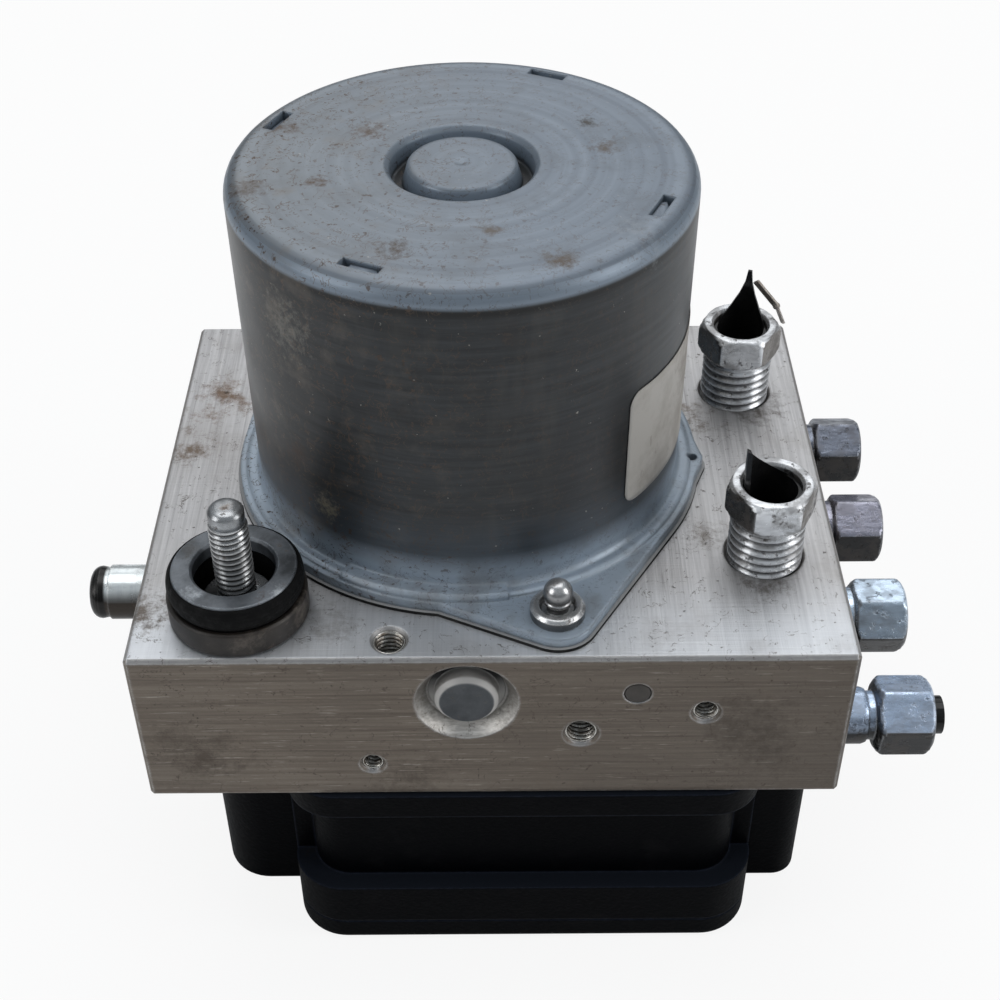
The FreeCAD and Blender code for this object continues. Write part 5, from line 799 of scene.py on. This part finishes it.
# Inlet nuts
# Two upright tube nuts of zinc-plated steel, screwed into the block's top, with some of their thread showing.
# A broken tube sleeve stands in each of them.
def make_nut_metal(title, under, over, stain, metallic, front=0.0, left=0.0):
    # Painted light and shade: flats that look up are pale, those that look down dark, crests lit and roots
    # shaded
    material, tree, shader = start_material(title, metallic)
    aspect = surface_aspect(tree)
    blotches = patches(tree, 260.0, 0.48, 0.1)
    pits = patches(tree, 650.0, 0.58, 0.06)
    brushed = scratches(tree, 900.0, x=0.3)
    wear_and_highlight, bevel = worn_and_highlit_edges(tree, 0.0005, 0.35)
    metal = mix_colours(tree, spread_value(tree, aspect.outputs["Z"], 0.1, 0.7), under, over)
    # Flats facing the front are painted bright, those facing left dark and those facing right brown: painted
    # light and shade
    metal = tint_range(tree, metal, aspect.outputs["Y"], -0.7, -0.97, front, over)
    metal = tint_range(tree, metal, aspect.outputs["X"], -0.25, -0.85, left, (0.035, 0.034, 0.033))
    metal = tint_range(tree, metal, aspect.outputs["X"], 0.35, 0.85, left * 0.7, (0.17, 0.145, 0.125))
    metal = tint_range(tree, metal, brushed, 0.45, 0.75, 0.45, under)
    metal = tint(tree, metal, (blotches, stain * 0.7, (0.1, 0.088, 0.08)),
                 (pits, stain, (0.035, 0.026, 0.02)))
    metal = tint_thread(tree, metal, 0.6, (0.85, 0.87, 0.9), 0.92, (0.02, 0.018, 0.016))
    # Edges are tinted pale: part wear, part painted highlight
    metal = tint(tree, metal, (wear_and_highlight, 0.55, (0.8, 0.82, 0.85)))
    dress(tree, shader, metal, spread_value(tree, blotches, 0, 1, 0.24, 0.42),
          combine(tree, "SUBTRACT", brushed, pits), 0.00005, bevel)
    return material


def mark_flats(piece, limit=25.0):
    piece.data.set_sharp_from_angle(angle=math.radians(limit))


inlet_metal = make_nut_metal("inlet_metal", (0.13, 0.125, 0.12), (0.9, 0.92, 0.95), 0.8, 0.5,
                             front=1.0, left=0.92)
inlet_across = 12.5
inlet_pitch = 1.5
inlet_levels = form_levels("round", (6.0, 4.6), (-1.6, 4.6), (-1.6, 5.5))
inlet_levels += thread_run(-1.5, 7.6, 6.0, inlet_pitch)
inlet_levels += form_levels("round", (7.75, 5.45), (8.45, 5.45), (8.6, 5.9))
inlet_levels += form_levels("hex", (8.62, 6.1), (9.0, 6.6), (9.5, 7.0), (9.9, 7.3), (13.0, 7.3), (13.5, 7.0),
                            (14.0, 6.6), (14.36, 6.15))
inlet_levels += form_levels("round", (14.4, 5.9), (14.4, 5.05), (14.2, 4.9), (13.9, 4.62))
inlet_sites = (("front", (43.2, -20.5), 32.0), ("back", (43.3, 22.9), 26.0))
for name, (x, y), lead in inlet_sites:
    nut = stacked_rings("inlet_tube_nut_" + name, inlet_levels, around=120, close=True, flats=inlet_across,
                        pitch=inlet_pitch, depth=0.7, lead=lead)
    lay_along(nut, (x, y, block_top), (0, 0, 1))
    mark_flats(nut)
    nut.data.materials.append(inlet_metal)
    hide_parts("inlet_nut_" + name)
    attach(nut, "module")
sleeve_black = make_rubber("sleeve_black", (0.0035, 0.0035, 0.004), (0.03, 0.028, 0.026), 0.25)
sleeve_black.node_tree.nodes["Principled BSDF"].inputs["Coat Weight"].default_value = 0.5
finish_nodes(sleeve_black, "inlet_stub_front", "inlet_stub_back")
strip_metal = make_plain_metal("strip_metal", (0.2, 0.16, 0.13), (0.5, 0.47, 0.44), 0.6, 0.35, edge=0.6)
finish_nodes(strip_metal, "inlet_sliver")


# Wheel line nuts
# Four tube nuts of the same kind lie in the block's right face, one with its tube's end broken off in it.
# Their upper flats are painted light, blue-white on the near pair and duller on the far pair; the lower are
# painted dark.
wheel_across = 11.0
wheel_height = 48.8
wheel_pitch = 1.0
block_right = 55.0
wheel_hex = form_levels("hex", (5.5, 5.2), (5.9, 5.8), (6.3, 6.2), (6.6, 6.4), (13.1, 6.4), (13.5, 6.15),
                        (13.9, 5.75), (14.17, 5.3))
wheel_hex += form_levels("round", (14.2, 5.0), (14.2, 2.9), (13.8, 2.5))
threaded_neck = form_levels("round", (4.0, 2.5), (-6.0, 2.5), (-6.0, 4.6))
threaded_neck += thread_run(-5.9, 2.6, 5.0, wheel_pitch)
threaded_neck += form_levels("round", (2.8, 4.45), (3.9, 4.45), (4.0, 4.9), (5.4, 4.9))
smooth_neck = form_levels("round", (4.0, 2.5), (-6.0, 2.5), (-6.0, 4.55), (3.2, 4.55), (3.9, 4.3), (4.1, 3.9),
                          (5.2, 3.9))
# From the near nut to the far one: place along the face, turn of its flats, neck, painted light on its upper
# flats
wheel_nuts = ((-37.0, 40.0, smooth_neck, (0.62, 0.75, 0.96)), (-14.4, 55.0, threaded_neck, (0.7, 0.84, 1.0)),
              (8.2, 32.0, threaded_neck, (0.38, 0.38, 0.46)), (30.8, 33.0, threaded_neck, (0.19, 0.21, 0.26)))
for number, (y, lead, neck, shade) in enumerate(wheel_nuts, start=1):
    nut = stacked_rings(f"wheel_tube_nut_{number}", neck + wheel_hex, around=120, close=True,
                        flats=wheel_across, pitch=wheel_pitch, depth=0.55, lead=lead)
    to_face = Matrix.Translation(Vector((block_right, y, wheel_height)) / 1000)
    nut.data.transform(to_face @ Matrix.Rotation(math.pi / 2, 4, "Y"))
    mark_flats(nut)
    nut.data.materials.append(make_nut_metal(f"wheel_metal_{number}", (0.03, 0.03, 0.031), shade, 0.45, 0.75))
    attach(nut, "module")
    if number == 1:
        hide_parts("wheel_line_nuts")
finish_nodes(sleeve_black, "wheel_line_stub")


# Control unit
# A housing and flat cover of black glass-filled plastic, welded together, finely textured and dusty.
# The circuit board and the coils are inside.
unit_plastic, tree, shader = start_material("unit_plastic")
upward = use_effect(tree, facing_split).outputs["Upward"]
grain = patches(tree, 1500.0, 0.4, 0.3)
wear_and_highlight, bevel = worn_and_highlit_edges(tree, 0.0006, 0.4)
plastic = mix_colours(
    tree, patches(tree, 110.0, 0.55, 0.16), (0.001, 0.0012, 0.0019), (0.0034, 0.0035, 0.0042))
# Painted sheen: upward faces are painted a lighter blue-black
plastic = tint(tree, plastic, (upward, 0.85, (0.012, 0.0148, 0.021)))
plastic = add_spots(tree, plastic, (((-45.0, -22.0, 20.0), 16.0, 260.0, 0.8, (0.016, 0.013, 0.01)),
                                    ((-30.0, -36.0, 12.0), 9.0, 320.0, 0.6, (0.014, 0.012, 0.01))))
# Edges are tinted blue as painted highlight
plastic = tint(tree, plastic, (wear_and_highlight, 0.7, (0.022, 0.028, 0.045)))
shader.inputs["Specular IOR Level"].default_value = 0.035
dress(tree, shader, plastic, spread_value(tree, grain, 0, 1, 0.46, 0.34), grain, 0.00003, bevel)
finish_nodes(unit_plastic, "ecu_housing", "ecu_cover", "brush_plate")
finish_nodes(screw_zinc, "ecu_screws")


# Hidden works
# Magnets, rotor, brushes, bearings, pump, accumulators, valves, coils, board and pins, none of it in view.
# Each has the finish of its own material, for the times when the module is opened.
def make_hidden_finish(title, dark, light, metallic, rough):
    material, tree, shader = start_material(title, metallic)
    shade = patches(tree, 260.0, 0.35, 0.3)
    dress(tree, shader, mix_colours(tree, shade, dark, light),
          spread_value(tree, shade, 0, 1, rough + 0.1, rough), shade, 0.00002)
    return material


hidden_finishes = (
    ("core_steel", (0.38, 0.38, 0.38), (0.52, 0.52, 0.52), 0.9, 0.3,
     ("armature_core", "rotor_shaft", "eccentric_ring", "main_bearing", "pilot_bearing", "top_bearing",
      "pump_piston_front", "pump_piston_back", "accumulator_caps", "valve_bodies",
      *(f"valve_armature_{number}" for number in range(1, 9)))),
    ("magnet_ferrite", (0.03, 0.03, 0.032), (0.06, 0.06, 0.062), 0.2, 0.55, ("motor_magnets",)),
    ("winding_copper", (0.42, 0.17, 0.07), (0.62, 0.28, 0.12), 0.9, 0.35,
     ("armature_winding", "commutator", "terminal_pins", "connector_pins")),
    ("brush_carbon", (0.02, 0.02, 0.02), (0.05, 0.05, 0.05), 0.1, 0.6, ("brush_left", "brush_right")),
    ("piston_plastic", (0.5, 0.47, 0.38), (0.62, 0.6, 0.52), 0.0, 0.45,
     ("accumulator_piston_left", "accumulator_piston_right")),
    ("coil_plastic", (0.012, 0.012, 0.013), (0.03, 0.03, 0.032), 0.0, 0.5, ("valve_coils",)),
    ("board_green", (0.01, 0.07, 0.03), (0.02, 0.12, 0.05), 0.0, 0.35, ("circuit_board",)))
for title, dark, light, metallic, rough, nodes in hidden_finishes:
    finish_nodes(make_hidden_finish(title, dark, light, metallic, rough), *nodes)


# Springs
# Coils of round steel wire behind the pump and accumulator pistons, the brushes and the valve armatures.
# Each is drawn at its length at rest.
spring_steel = make_hidden_finish("spring_steel", (0.3, 0.3, 0.31), (0.45, 0.45, 0.46), 0.9, 0.28)


def coil_spring(title, start, heading, length, radius, wire, turns, around=8, steps=24):
    # From start along a heading, closed and flat at both ends; sizes in millimetres
    points = []
    count = int(turns * steps)
    middle = radius - wire / 2
    for i in range(count + 1):
        share = i / count
        angle = 2 * math.pi * turns * share
        along = wire / 2 + (length - wire) * share
        for k in range(around):
            lean = 2 * math.pi * k / around
            reach = middle + wire / 2 * math.cos(lean)
            points.append(Vector((reach * math.cos(angle), reach * math.sin(angle),
                                  along + wire / 2 * math.sin(lean))) / 1000)
    faces = [tuple(reversed(range(around))), tuple(range(count * around, (count + 1) * around))]
    for i in range(count):
        for k in range(around):
            j = (k + 1) % around
            faces.append((i * around + k, i * around + j, (i + 1) * around + j, (i + 1) * around + k))
    coil = mesh_object(title, points, faces)
    lay_along(coil, start, heading)
    coil.data.materials.append(spring_steel)
    return coil


# Length at rest, radius, wire and turns of each kind
pump_wire = (7.7, 4.6, 0.7, 5)
accumulator_wire = (10.6, 5.2, 0.8, 5)
brush_wire = (5.9, 2.2, 0.45, 6)
valve_wire = (13.8, 2.34, 0.5, 8)
# One row for each spring: node, side, start, heading, kind, joint and travel
spring_rows = []
for side, y, outward in (("front", -22.29, -1), ("back", 30.29, 1)):
    spring_rows.append(("pump_spring_" + side, side, (-4.0, y, 59.6), (0, outward, 0), pump_wire,
                        side + "_pump_stroke", 2.4))
for side, x in (("left", -29.0), ("right", 21.5)):
    spring_rows.append(("accumulator_spring_" + side, side, (x, 3.0, 51.0), (0, 0, -1), accumulator_wire,
                        side + "_accumulator_travel", 4.0))
for side, x, outward in (("left", -23.8, -1), ("right", 15.8, 1)):
    spring_rows.append(("brush_springs", side, (x, 4.0, 76.9), (outward, 0, 0), brush_wire,
                        side + "_brush_travel", 3.0))
for number in range(8):
    row, column = divmod(number, 4)
    spring_rows.append(("valve_springs", str(number + 1), (-21.0 + 15.5 * column, -27.0 + 56.5 * row, 30.3),
                        (0, 0, 1), valve_wire, f"valve_{number + 1}_stroke", 0.4))
replaced = set()
for node, side, start, heading, (length, radius, wire, turns), joint, travel in spring_rows:
    coil = coil_spring("coil_" + node + "_" + side, start, heading, length, radius, wire, turns)
    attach(coil, "module")
    if node not in replaced:
        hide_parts(node)
        replaced.add(node)
    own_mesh(coil)
